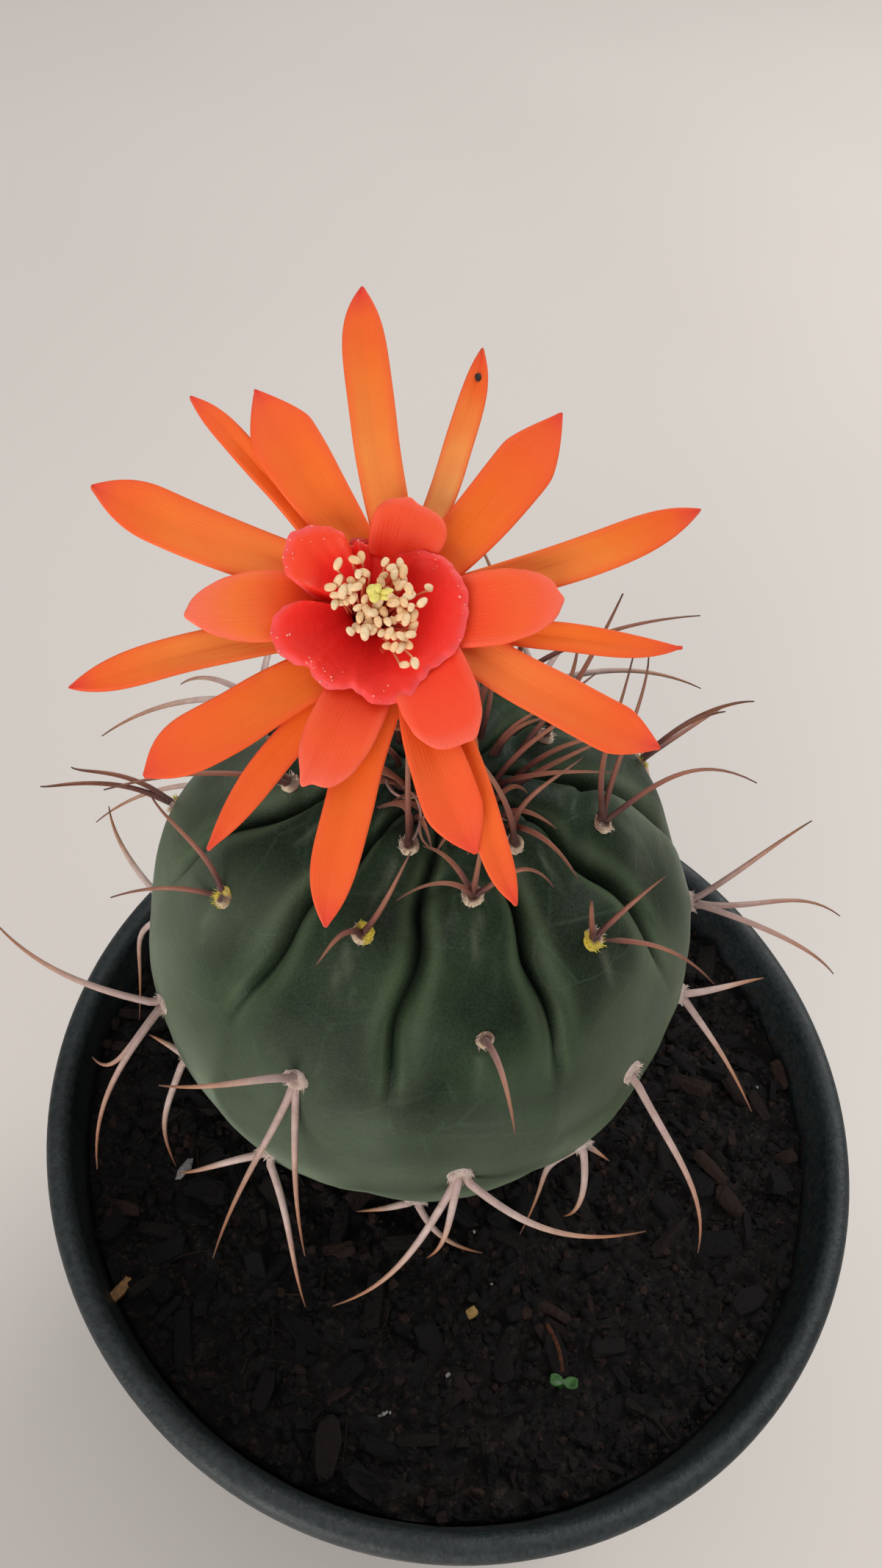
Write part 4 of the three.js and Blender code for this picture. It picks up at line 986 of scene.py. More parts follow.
# Each is: its turn clockwise from uphill, lift off the skin and length, how far its middle
# bows off the skin and to its right, and how much more it does so toward its tip
SPINES = {
    (0, 0): [(-60, 55, 24, 2, 0, 0)],
    (0, 1): [(-62, 45, 19, -1.9, -1, -2), (-145, 25, 17.5, -2.4, 1.6, 0.4)],
    (0, 2): [
        (-102, 34, 34.5, 2.6, -1, -0.7), (187, 37, 17.5, 2.6, -4, -1.5), (133, 35, 27, 2.8, 0.4, 2.9)],
    (0, 3): [(-39, 23, 7.5, -0.7, 1.3, 0), (154, 33, 26, 2.8, -0.7, 2.4)],
    (1, 0): [(-83, 68, 11, -0.5, 3.2, -1), (-20, 60, 30, 2, 0, 0)],
    (1, 1): [(16, 45, 20, 0.4, 0.5, -0.2), (-151, 31, 8, 1.7, 1.2, -0.6)],
    (1, 2): [
        (-91, 41, 19.5, 3.6, 3.7, -1.3), (179, 31, 28, -4.3, 1.2, 0.9), (155, 13, 27.5, -2.3, 2.2, 0.6)],
    (1, 3): [(-133, 27, 20, 1, 1.2, -0.6), (138, 32, 28.5, 0.4, -1.6, 1.8)],
    (2, 0): [
        (-93, 39, 15.5, 3, 1.4, 1.2), (-53, 46, 14.5, -1.2, 1.6, -0.3),
        (96, 59, 15.5, 0, -2.5, -1.8), (-20, 71, 23, 0.9, -0.3, 0.3)],
    (2, 1): [(173, 55, 14.5, 3.4, -0.2, 0)],
    (2, 2): [(-143, 15, 33, 2.6, -1.3, -1.5), (-163, 22, 17, 2.3, 0, -0.8), (112, 12, 33.5, 2.2, 4, 1.5)],
    (2, 3): [(-126, 11, 12, 0.3, -0.5, -1.7), (135, 28, 21, 1.4, 1.7, 0.7)],
    (3, 0): [(62, 59, 17.5, 1.3, -2.5, 1.1), (-42, 55, 32, 2, 0, 0)],
    (3, 1): [(-32, 47, 22, -0.4, 0.8, 0.3), (147, 34, 18, -5.7, -3.4, -0.9), (63, 41, 14, -1, 0.5, 0)],
    (3, 2): [(189, 32, 33.5, 3.8, 0, -2)],
    (3, 3): [(198, 27, 17, 3, 1.5, 0.2), (143, 31, 9.5, -1, 0.2, 0.1), (-158, 13, 27, -2.9, -2.1, -5.6)],
    (4, 0): [(-18, 52, 45, -1.5, -0.4, -3), (33, 53, 28.5, 0, 0.2, 3), (147, 41, 23.5, 2.2, -3.6, -1.5)],
    (4, 1): [(14, 52, 25.5, 1, 1.2, 0.5), (161, 50, 33, 1.5, -1, -2.6), (193, 48, 30.5, 4.8, 3.4, -0.2)],
    (4, 2): [(115, 50, 18, 0.7, -0.4, -0.5), (192, 36, 31, -1.2, -3.4, -1.1)],
    (5, 0): [(-26, 55, 34, 2, 0, 0), (-30, 62, 42, 2, 0, 0)],
    (5, 1): [(-29, 36, 26, 3.2, 0.9, -0.5), (-31, 37, 32, 4.4, 1.1, -0.7), (158, 40, 26, 2, 0, 0)],
    (5, 2): [(100, 32, 38, 4, 0, 0), (-150, 30, 26, 2, 0, 0)],
    (9, 0): [(-99, 48, 8.5, 0, -0.4, 0.4), (140, 52, 30, 2, 0, 0)],
    (9, 1): [(36, 40, 26, 3.7, -0.7, 1.5), (46, 39, 30.5, 4.9, 0.4, 1.7), (-152, 27, 21, 2, 0, 0)],
    (9, 2): [(-25, 20, 23.5, 5.9, -4.8, 0), (147, 25, 25.5, 6.1, 5, 5.3)],
}
HIDDEN_TURNS = (-115, 118, 176)


def hidden_spines(rib, height):
    """The spines of an areole at the back, drawn for it."""
    seed = rib * 17 + height
    upper = height > 45
    found = []
    for k, middle in enumerate(HIDDEN_TURNS):
        fan = middle + 24 * (draw(seed + k) - 0.5)
        lift = pick(24, 44, seed + k + 40) + (12 if upper else 0)
        length = HIDDEN_SPINE_LENGTH * pick(0.75, 1.2, seed + k + 80)
        bend = 2 * draw(seed + k + 120) - 1
        found.append((6 if upper and k == 2 else fan, lift, length, 3, 2 * bend, bend))
    return found


def spine_path(point, outward, uphill, right, shape):
    """A spine's curve from its place and its shape."""
    turn, lift, length, bow, side_bow, late_bow = shape
    along = uphill * cos(radians(turn)) + right * sin(radians(turn))
    chord = along * cos(radians(lift)) + outward * sin(radians(lift))
    bow_way = (outward - chord * outward.dot(chord)).normalized()
    side_way = chord.cross(bow_way)

    def path(part):
        sunk = -SPINE_SINK * max(0.0, 1 - part / 0.06)
        hump = 4 * part * (1 - part)
        spot = point + chord * (part * length) + bow_way * (bow * hump)
        return spot + outward * sunk + side_way * (hump * (side_bow + late_bow * (2 * part - 1)))
    return path


def spine_thick(age):
    """The spine's radius along it; a young one is slimmer."""
    body_radius = SPINE_RADIUS * between(0.74, 1.06, age)

    def thick(part):
        return between(body_radius, SPINE_TIP, part ** 1.7) + 0.16 * exp(-(part / 0.05) ** 2)
    return thick


spine_pattern = rod_pattern(SPINE_SIDES, SPINE_RINGS)
spines = []


def grow(sit, shape, age):
    """Adds a spine of that shape where an areole sits."""
    path = spine_path(*sit, shape)
    side = sit[1].cross(path(1) - path(0)).normalized()
    spines.append((along_path(path, spine_thick(age), side), age))


for rib, k, height in all_areoles:
    sit = areole_frame(rib, height, AREOLE_SHIFTS.get((rib, k), 0))
    for shape in SPINES.get((rib, k)) or hidden_spines(rib, height):
        grow(sit, shape, age_of(rib, k, height))
for rib in range(0, RIB_COUNT, 2):
    sit = areole_frame(rib, CROWN_AREOLE)
    lift = 52 if sit[1].y < -0.05 else 68
    length = CROWN_SPINE_LENGTH * pick(0.7, 1.1, rib + 7)
    grow(sit, (180 + 30 * (draw(rib + 3) - 0.5), lift, length, 2, 0, 0), 0)
# Short young spines crowd the crown under the flower, and three dried curls lie among them
for rib in range(RIB_COUNT):
    for item in range(3):
        seed = rib * 5.3 + item * 1.9 + 60
        sit = areole_frame(rib, pick(74, 81, seed), pick(-9, 9, seed + 0.2))
        grow(sit, (
            180 + 110 * (draw(seed + 0.4) - 0.5), pick(42, 72, seed + 0.6),
            pick(9, 20, seed + 0.8), 1.5, 1.5 * (draw(seed + 0.9) - 0.5), 0), 0)
# Each curl is: where it lies from its areole, its radius, where it starts and how far it winds
CURLS = [(-4.2, 3.0, 5.2, -0.5, 1.9), (5.4, 2.4, 5.6, 2.4, 1.7), (-2.4, 9.0, 4.6, 3.6, 2.2)]
curl_spot, curl_out, curl_up, curl_right = areole_frame(1, 71.5, 4)
for x, y, curl_radius, start_angle, swing in CURLS:
    def curl_path(part, x=x, y=y, curl_radius=curl_radius, start_angle=start_angle, swing=swing):
        angle = start_angle + swing * part
        around = curl_up * sin(angle) + curl_right * cos(angle)
        return (curl_spot + curl_right * x + curl_up * y + curl_out * (1.5 + 3.5 * part)
                + around * curl_radius * (1 - 0.4 * part))
    spines.append((along_path(curl_path, lambda part: CURL_RADIUS * (1 - 0.5 * part), curl_out), 0.35))
spine_piece = copied("spines", spine_pattern, spines, 80)
mark(spine_piece, "along", [point.z for point in spine_pattern[0]] * len(spines))

spine_finish, tree = new_finish("spine_horn", Roughness=0.5, Specular_IOR_Level=0.4)
along = marked(tree, "along")
young_horn = ramp(tree, along, [
    (0.0, 48, 20, 22), (0.14, 76, 34, 32), (0.3, 136, 80, 66), (0.6, 160, 104, 80),
    (0.9, 126, 86, 68), (1.0, 70, 46, 40)])
old_horn = ramp(tree, along, [
    (0.0, 190, 164, 156), (0.35, 206, 182, 172), (0.6, 198, 158, 136), (0.86, 172, 116, 80),
    (1.0, 84, 52, 40)])
horn = mix_paint(tree, marked(tree, "tone"), young_horn, old_horn)
lengthwise = mottled(tree, 420.0, 5.0, 0.4)
horn = tinted(tree, horn, lengthwise, 0.35, (120, 84, 68))
feed(tree, "Base Color", horn)
feed(tree, "Roughness", stretch(tree, lengthwise, 0, 1, 0.42, 0.66))
roughen(tree, mottled(tree, 1500.0, 4.0, 0.4), 0.0001, 0.6)
bring_in(spine_piece, "cactus_skin", spine_finish)


# Flower tube: a slender fleshy tube that rises out of the crown and bends over to face the
# viewer. It widens to a mouth, has narrow scales that lean off it, and carries the long outer
# tepals on the rim of its mouth. It grew as one piece.
MOUTH = Vector((-23.7, -14.9, 252.9))
FACE_HEIGHT = 57
FACE_TURN = -80
TUBE_FOOT_SINK = 1.6
TUBE_PULL = 24
TUBE_RADII = [3, 4.3, 4.1, 3.6, 3.7, 4, 4.4, 4.9, 5.4, 6]
TUBE_STEPS = 63
TUBE_SIDES = 64
THROAT_DEPTH = 11
TUBE_LOW = 186
TUBE_HIGH = 256

facing = stem_way(FACE_TURN, FACE_HEIGHT)
face_up = (UP - facing * facing.z).normalized()
face_right = face_up.cross(facing)


def in_mouth(x, y, z):
    """A point in the flower's own frame: x right and y up across its face, z the way it faces."""
    return MOUTH + face_right * x + face_up * y + facing * z


tube_foot = STEM_CENTRE + UP * (STEM_RADIUS - CROWN_DIP - TUBE_FOOT_SINK)
tube_neck = in_mouth(0, 0, -THROAT_DEPTH)
tube_bends = (tube_foot, tube_foot + UP * TUBE_PULL, in_mouth(0, 0, -THROAT_DEPTH - TUBE_PULL), tube_neck)


def tube_point(part):
    a, b, c, d = tube_bends
    rest = 1 - part
    return a * rest ** 3 + b * (3 * rest * rest * part) + c * (3 * rest * part * part) + d * part ** 3


def tube_run(part):
    a, b, c, d = tube_bends
    rest = 1 - part
    return ((b - a) * rest * rest + (c - b) * (2 * rest * part) + (d - c) * part * part).normalized()


def tube_radius(part):
    """The tube's radius, led softly through its measured ones."""
    spot = min(part, 0.9999) * (len(TUBE_RADII) - 1)
    k = int(spot)
    near = [TUBE_RADII[max(0, min(k + step, 9))] for step in (-1, 0, 1, 2)]
    t = spot - k
    return 0.5 * (2 * near[1] + (near[2] - near[0]) * t
                  + (2 * near[0] - 5 * near[1] + 4 * near[2] - near[3]) * t * t
                  + (3 * near[1] - near[0] - 3 * near[2] + near[3]) * t ** 3)


tube_sides_ways = [Vector((0, -1, 0))]
for k in range(1, TUBE_STEPS + 1):
    run = tube_run(k / TUBE_STEPS)
    last = tube_sides_ways[-1]
    tube_sides_ways.append((last - run * last.dot(run)).normalized())


def on_tube(spot):
    """Moves a point of the straight turned tube, whose Z counts the tube's steps, on to its bend."""
    step = spot.z
    if step <= TUBE_STEPS:
        part = max(0.0, step / TUBE_STEPS)
        centre, run = tube_point(part), tube_run(part)
        side = tube_sides_ways[min(TUBE_STEPS, int(round(step)))]
    else:
        centre, run = tube_neck + facing * (step - TUBE_STEPS), facing
        side = tube_sides_ways[TUBE_STEPS]
    side = (side - run * side.dot(run)).normalized()
    angle = atan2(spot.y, spot.x)
    ribbed = 0.018 * cos(10 * angle) * eased(2, 12, step)
    ribbed = 1 + ribbed * (1 - eased(TUBE_STEPS, TUBE_STEPS + 8, step))
    return centre + (side * spot.x + run.cross(side) * spot.y) * ribbed


tube_stations = [(tube_radius(k / TUBE_STEPS), k) for k in range(TUBE_STEPS + 1)]
neck_step = TUBE_STEPS
for radius, rise in ((6.0, 2), (6.05, 4), (6.15, 5.5), (6.5, 7.2), (6.95, 8.6), (7.2, 9.6),
                     (7.25, 10.3), (7.05, 10.8), (6.7, 11.0), (6.2, 11.0), (5.8, 10.8),
                     (5.55, 9.8), (5.1, 8), (4.6, 6.2), (4.35, 5), (4.3, 3), (4.3, 0.6), (3.8, 0.05)):
    tube_stations.append((radius, neck_step + rise))
tube = turned("flower_tube_wall", tube_stations, TUBE_SIDES)
for vertex in tube.data.vertices:
    vertex.co = on_tube(vertex.co / MM) * MM
smooth_over(tube, 50)


def blade(columns, rows, shape, thickness):
    """A thin living blade: a grid laid in its shape, thickened and rounded at its edge."""
    piece = new_piece(
        "blade", bpy.ops.mesh.primitive_grid_add, x_subdivisions=columns, y_subdivisions=rows, size=1)
    for vertex in piece.data.vertices:
        vertex.co = shape(2 * vertex.co.x, vertex.co.y + 0.5) * MM
    reshape(piece, "SOLIDIFY", thickness=thickness * MM, offset=0)
    reshape(piece, "SUBSURF", levels=1, render_levels=1)
    return piece


def gather(name, pieces):
    """Several blades joined into one smooth piece."""
    whole = joined(name, pieces)
    smooth_over(whole, 60)
    return whole


SCALE_COUNT = 9
SCALE_LENGTH = 7
SCALE_WIDTH = 3.1
SCALE_LEAN = 3
SCALE_TURN = 2.4
scales = []
for k in range(SCALE_COUNT):
    part = between(0.12, 0.9, (k + 0.5) / SCALE_COUNT)
    run = tube_run(part)
    guide = Vector((1, 0, 0)) if abs(run.z) > 0.9 else UP
    side = guide.cross(run).normalized()
    out = side * cos(SCALE_TURN * k) + run.cross(side) * sin(SCALE_TURN * k)
    across_way = run.cross(out).normalized()
    root = tube_point(part) + out * (TUBE_RADII[round(part * 9)] - 0.9)

    def scale_point(s, v, root=root, run=run, out=out, across_way=across_way):
        wide = SCALE_WIDTH / 2 * (1 - 0.94 * v ** 1.8)
        hollow = 0.35 * (1 - s * s) * (1 - v)
        lean = SCALE_LEAN * v + 0.5 * v * v
        return root + run * (SCALE_LENGTH * v) + out * (lean + hollow) - across_way * (s * wide)
    scales.append(blade(6, 10, scale_point, 0.5))
tube_scales = gather("tube_scales", scales)

tube_finish, tree = new_finish(
    "tube_flesh", Roughness=0.45, Subsurface_Weight=0.15, Subsurface_Scale=0.002,
    Subsurface_Radius=(1.0, 0.35, 0.15))
flesh_paint = ramp(tree, stretch(tree, height_on(tree), TUBE_LOW * MM, TUBE_HIGH * MM), [
    (0.0, 150, 112, 70), (0.12, 186, 92, 48), (0.5, 216, 84, 42), (0.9, 222, 66, 40),
    (1.0, 216, 40, 36)])
flesh_paint = tinted(tree, flesh_paint, mottled(tree, 260.0, 4.0, 0.4), 0.35, (232, 120, 60))
feed(tree, "Base Color", flesh_paint)
roughen(tree, mottled(tree, 1100.0, 3.0, 0.4), 0.00015, 0.5)
bring_in(tube, "outer_tepals", tube_finish, "flower_tube")
bring_in(tube_scales, "outer_tepals", speckled(
    "scale_skin", (330.0, 3.0, 0.4), (170, 72, 44), (120, 84, 52), (1200.0, 3.0, 0.4), 0.0001, 0.5,
    Roughness=0.5))


# Outer tepals: fifteen long satin blades that spring from the rim of the mouth, the wide ones
# in front of the narrow ones. They are orange with finer lengthwise veins, pass to coral along
# their edges, and end in a short red point.
TEPAL_THICKNESS = 0.5
# Each is: its tip's turn and reach, its root's turn, its width, the share of that at the root,
# the widest part, the fullness of its end, its lean and sideways bow, its layer and redness
OUTER_TEPALS = [
    (-4.5, 29.8, 32, 4.3, 0.9, 0.61, 3.9, -0.8, -1.15, 0, 0.05),
    (20, 26.7, 41, 2.7, 0.8, 0.5, 4.5, 1.0, 1.25, -1, 0.0),
    (41, 25.5, 57, 5.7, 0.75, 0.71, 1.3, 0.4, 0.85, 1, 0.6),
    (69.6, 32.4, 76, 3.95, 0.7, 0.59, 3.3, -0.1, 0.95, 0, 0.1),
    (93.5, 29.2, 87, 2.7, 1.1, 0.48, 3.4, 1.4, 1.45, -1, 0.1),
    (112.8, 29.4, 93, 4.85, 0.8, 0.82, 1.4, 1.1, 1.5, 1, 0.45),
    (151.3, 30.1, 106, 2.95, 1.1, 0.69, 3.8, 1.45, 0.95, -1, 0.4),
    (154.6, 24.2, 133, 5.5, 0.4, 0.76, 1.7, 1.15, 1.5, 1, 0.95),
    (185.5, 29.1, 148, 4.45, 0.98, 0.64, 3.3, 1.35, 1.5, 0, 0.5),
    (211, 26.3, 188, 3.1, 0.9, 0.56, 2.4, -0.5, 0.25, -1, 0.6),
    (229.7, 25.3, 201, 5.35, 0.75, 0.68, 2.8, 1.45, 0.95, 1, 0.5),
    (251.6, 27.8, 251, 3.45, 1.08, 0.59, 3.2, -0.4, 0.1, -1, 0.1),
    (290.2, 27.1, 300, 5.1, 0.89, 0.72, 2.1, 0.2, -0.5, 0, 0.15),
    (316.6, 25.1, 320, 2.4, 0.78, 0.65, 3.4, 0.75, 0.8, -1, 0.3),
    (329.1, 22.3, 351, 6.2, 0.55, 0.72, 1.3, -0.45, -0.75, 1, 0.55),
]
ROOT_RADIUS = 4.9
ROOT_HEIGHT = -1.1
TIP_HEIGHT = 0.2
OUTER_ARCH = 0.9
LAYER_STEP = 0.45


def face_spot(turn, radius):
    """A spot on the flower's face, turned clockwise from its top."""
    return Vector((sin(radians(turn)), cos(radians(turn)))) * radius


def laid_out(root_turn, root_radius, tip_turn, reach):
    """Where a blade starts on the flower's face, its run to its tip and the way across it."""
    start = face_spot(root_turn, root_radius)
    run = face_spot(tip_turn, reach) - start
    onward = run.normalized()
    return start, run, Vector((onward.y, -onward.x))


def pointed_share(v, root_share, widest, fullness):
    if v < widest:
        return between(root_share, 1, sin(pi / 2 * v / widest))
    return 1 - 0.975 * ((v - widest) / (1 - widest)) ** fullness


def outer_shape(seed, tip_turn, reach, root_turn, width, root_share, widest, fullness, lean, bow, layer):
    """Lays a point across s and along v of a long pointed tepal."""
    start, run, across_way = laid_out(root_turn, ROOT_RADIUS, tip_turn, reach)
    lift = 0.3 * (draw(seed * 3.3) - 0.5)

    def shape(s, v):
        v = 1 - (1 - v) ** 1.25
        wide = width / 2 * pointed_share(v, root_share, widest, fullness)
        offset = s * wide + bow * sin(pi * v) + lean * (eased(0.5, 1.0, v) - v)
        spot = start + run * v + across_way * offset
        rise = between(ROOT_HEIGHT, TIP_HEIGHT, v) + OUTER_ARCH * sin(pi * v) + LAYER_STEP * layer
        rise += 0.16 * wide * abs(s) ** 1.6 - 0.22 * (1 - abs(s)) ** 2 * sin(pi * v)
        rise += lift * v * v
        rise += 0.13 * noise.noise(Vector((s * 1.1, v * 3.6, seed * 9.1))) * eased(0, 0.3, v)
        return in_mouth(spot.x, spot.y, rise)
    return shape


# Tepals that the light shines through near their roots
PALE_ROOTS = {0: 0.35, 1: 1, 3: 0.3, 5: 0.25, 11: 0.4, 12: 0.25}
outer_blades = []
for k, (*sizes, redness) in enumerate(OUTER_TEPALS):
    tepal = blade(10, 28, outer_shape(k + 1, *sizes), TEPAL_THICKNESS)
    mark(tepal, "redness", redness)
    mark(tepal, "pale", PALE_ROOTS.get(k, 0))
    outer_blades.append(tepal)
outer_tepals = gather("outer_tepals", outer_blades)

# A tiny black fly-spot near the tip of the second tepal
SPOT_TEPAL = 1
SPOT_PART = 0.8
SPOT_RADIUS = 0.3
SPOT_LIFT = 0.42
spot_shape = outer_shape(SPOT_TEPAL + 1, *OUTER_TEPALS[SPOT_TEPAL][:-1])
spot_centre = (spot_shape(0, SPOT_PART) + facing * SPOT_LIFT) * MM
black_spot = new_piece(
    "black_spot", bpy.ops.mesh.primitive_ico_sphere_add, subdivisions=3, radius=SPOT_RADIUS * MM)
for vertex in black_spot.data.vertices:
    spot = vertex.co * (1 + 0.25 * noise.noise(vertex.co / MM * 3))
    vertex.co = spot_centre + face_right * spot.x + face_up * spot.y * 1.3 + facing * spot.z * 0.5
smooth_over(black_spot, 80)

# Fine veins that run lengthwise in a blade, on its own lengthwise and crosswise map
veins, veins_in, veins_out = blank_group("veins", ["Count", "Sharpness"], ["Mask", "Across", "Along"])
parts = add_node(veins, "SeparateXYZ", {"Vector": add_node(veins, "TexCoord").outputs["UV"]}).outputs
vein_place = add_node(veins, "CombineXYZ", {
    "X": times(veins, parts["X"], veins_in["Count"]), "Y": times(veins, parts["Y"], 1.6)})
vein_noise = add_node(veins, "TexNoise", {
    "Vector": vein_place.outputs["Vector"], "Scale": 1.0, "Detail": 2.0}).outputs[0]
vein_low = sum_up(veins, "SUBTRACT", 0.5, veins_in["Sharpness"])
vein_high = sum_up(veins, "ADD", 0.5, veins_in["Sharpness"])
off_middle = times(veins, sum_up(veins, "SUBTRACT", parts["X"], 0.5), 2.0)
veins.links.new(stretch(veins, vein_noise, vein_low, vein_high), veins_out["Mask"])
veins.links.new(sum_up(veins, "ABSOLUTE", off_middle, 0.0), veins_out["Across"])
veins.links.new(parts["Y"], veins_out["Along"])


def veined(tree, count, sharpness):
    """A blade's veins, how far off its middle line a place is and how far along it."""
    made = add_node(tree, "Group", {"Count": count, "Sharpness": sharpness}, node_tree=veins)
    return [made.outputs[name] for name in ("Mask", "Across", "Along")]


petal_finish, tree = new_finish(
    "orange_tepal", Roughness=0.5, Specular_IOR_Level=0.16, Subsurface_Weight=0.3,
    Subsurface_Scale=0.0015, Subsurface_Radius=(1.0, 0.4, 0.15), Sheen_Weight=0.02,
    Sheen_Roughness=0.4, Sheen_Tint=paint(255, 190, 160))
vein_mask, from_mid, lengthway = veined(tree, 30.0, 0.28)
orange = ramp(tree, lengthway, [
    (0.0, 250, 168, 72), (0.25, 247, 137, 32), (0.6, 245, 121, 24), (0.82, 246, 104, 36),
    (0.93, 234, 66, 54), (1.0, 214, 38, 60)])
coral = ramp(tree, lengthway, [
    (0.0, 246, 104, 36), (0.4, 248, 96, 34), (0.8, 249, 90, 54), (0.92, 240, 70, 58),
    (1.0, 222, 46, 62)])
petal = mix_paint(tree, marked(tree, "redness"), orange, coral)
pale_root = times(tree, marked(tree, "pale"), stretch(tree, lengthway, 0.75, 0.1))
petal = mix_paint(tree, pale_root, petal, (255, 206, 124))
petal = mix_paint(tree, stretch(tree, from_mid, 0.6, 1.0, 0.0, 0.6), petal, (246, 86, 52))
petal = tinted(tree, petal, vein_mask, 0.06, (226, 80, 26))
petal = tinted(tree, petal, mottled(tree, 240.0, 4.0, 0.4), 0.22, (240, 128, 62))
petal = tinted(tree, petal, mottled(tree, 110.0, 3.0, 0.3), 0.42, (240, 90, 40))
feed(tree, "Base Color", petal)
feed(tree, "Roughness", stretch(tree, vein_mask, 0, 1, 0.44, 0.58))
roughen(tree, vein_mask, 0.00012, 0.35)
bring_in(outer_tepals, "outer_tepals", petal_finish)
bring_in(black_spot, "outer_tepals", speckled(
    "black_spot", (3000.0, 2.0, 0.4), (14, 8, 8), (40, 20, 16), (4000.0, 2.0, 0.5), 0.0001, 0.6,
    Roughness=0.7))


# Inner tepals and throat: five broad coral-red tepals with blunt ends, and inside them a thick
# deep-red cup with a lobed rim that stands up round the throat and goes down it as a funnel.
# All of it grew on the tube. The cup has a moist sheen, a pinkish rim and tiny clear beads.
# Each is: its end's turn and reach, its root's turn, its width, the share of that at the root,
# how far its corners fall back and how late, its point's height and side, its root's radius
# and height, its redness
INNER_TEPALS = [
    (22, 9.7, 26, 6.9, 0.8, 0.2, 3.4, 0.4, -0.3, 4.6, 0.2, 0.7),
    (85, 16.8, 100, 6.9, 0.8, 0.26, 3.2, 0.5, 0.05, 4.8, -0.3, 0.5),
    (147, 14.8, 122, 7.4, 0.9, 0.22, 3.2, 0.35, -0.55, 4.4, 0.2, 0.85),
    (195, 17.0, 172, 6.2, 0.85, 0.22, 3, 1.0, 0.35, 4.8, -0.3, 0.6),
    (263, 16.2, 281, 6.5, 0.4, 0.3, 2.4, 0.5, -0.1, 3.0, -1.8, 0),
]
INNER_END_HEIGHT = 2.9
# The cup's rim, as turns clockwise from up and how far it reaches there: a broad lobe on the
# right, one below, a small one, one low on the left, and past a gap one up on the left
CUP_RIM = [
    (0, 5.3), (14, 5.4), (27, 5.9), (42, 6.8), (60, 7.9), (85, 8.5), (118, 8.5), (130, 8.2),
    (137, 7.9), (145, 8.2), (156, 9.0), (167, 9.3), (178, 9.0), (186, 8.3), (191, 7.9),
    (197, 8.3), (206, 8.8), (215, 8.6), (221, 8.1), (229, 8.9), (239, 9.5), (249, 9.5),
    (257, 9.0), (263, 8.1), (268, 6.6), (272, 4.8), (276, 4.8), (280, 6.9), (285, 8.3),
    (295, 9.0), (305, 9.3), (316, 8.8), (326, 8.0), (333, 6.9), (338, 5.7), (344, 6.0),
    (353, 5.7), (360, 5.3),
]
# The turns between which the upper left lobe is coral
CORAL_TURNS = (278, 336)
CUP_FLOOR_RADIUS = 1.9
CUP_FLOOR_HEIGHT = -1.2
CUP_WALL = 0.35
CUP_SIDES = 180
RIM_HEIGHTS = (-0.2, 3.1)
# The turns of the rim between which beads lie, and how many there are
BEADED_TURNS = [
    (35, 60, 7), (60, 130, 9), (165, 190, 6), (200, 226, 18), (232, 262, 8), (288, 320, 12),
    (336, 376, 10),
]


def blunt_shape(seed, sizes, root_radius, heights, arch, fold, waviness):
    """Lays a point of a broad tepal whose end is a soft curve with a small point."""
    tip_turn, reach, root_turn, width, root_share, fall, power, point, point_side = sizes
    start, run, across_way = laid_out(root_turn, root_radius, tip_turn, reach)
    onward = run.normalized()

    def shape(s, v):
        v = 1 - (1 - v) ** 1.2
        wide = width / 2 * between(root_share, 1, sin(pi / 2 * min(1.0, v / 0.7)))
        wide *= 1 - 0.12 * eased(0.75, 1, v)
        along = v * (1 - fall * abs(s) ** power)
        tooth = point * exp(-((s - point_side) / 0.16) ** 2) * eased(0.82, 1, v)
        spot = start + run * along + onward * tooth + across_way * (s * wide)
        rise = between(*heights, along) + arch * sin(pi * v) + fold * wide * abs(s) ** 1.8
        wave = noise.noise(Vector((s * 1.5, v * 2.1, seed * 5.3)))
        rise += waviness * wave * eased(0.2, 1, v)
        return in_mouth(spot.x, spot.y, rise)
    return shape


inner_blades = []
for k, (*sizes, root_radius, root_height, redness) in enumerate(INNER_TEPALS):
    heights = (root_height, INNER_END_HEIGHT)
    tepal = blade(14, 18, blunt_shape(k + 40, sizes, root_radius, heights, 0.7, 0.1, 0.4), 0.6)
    mark(tepal, "redness", redness)
    inner_blades.append(tepal)
inner_tepals = gather("inner_tepals", inner_blades)


def cup_rim(turn):
    """How far the cup's rim stands out at a turn, its height there and how coral it is."""
    for (low_turn, low_reach), (high_turn, high_reach) in zip(CUP_RIM, CUP_RIM[1:]):
        if low_turn <= turn <= high_turn:
            reach = between(low_reach, high_reach, eased(low_turn, high_turn, turn))
            break
    coral_share = eased(0, 4, turn - CORAL_TURNS[0]) * eased(0, 4, CORAL_TURNS[1] - turn)
    return reach, between(*RIM_HEIGHTS, eased(4.8, 7.0, reach)), coral_share


def cup_point(turn, share):
    """A point on the cup's upper side at a share of the way from its floor to its rim."""
    rim_radius, rim_height, _ = cup_rim(turn)
    around = Vector((sin(radians(turn)), cos(radians(turn)), 0))
    ruffle = noise.noise(around * 2.4 + Vector((0, 0, 3))) + 0.4 * noise.noise(around * 9)
    radius = between(CUP_FLOOR_RADIUS, rim_radius * (1 + 0.03 * ruffle), share)
    rise = between(CUP_FLOOR_HEIGHT, rim_height, sin(pi / 2 * share) ** 0.9)
    rise += 0.5 * ruffle * eased(0.6, 1, share) - 0.35 * eased(0.88, 1, share)
    return in_mouth(around.x * radius, around.y * radius, rise)


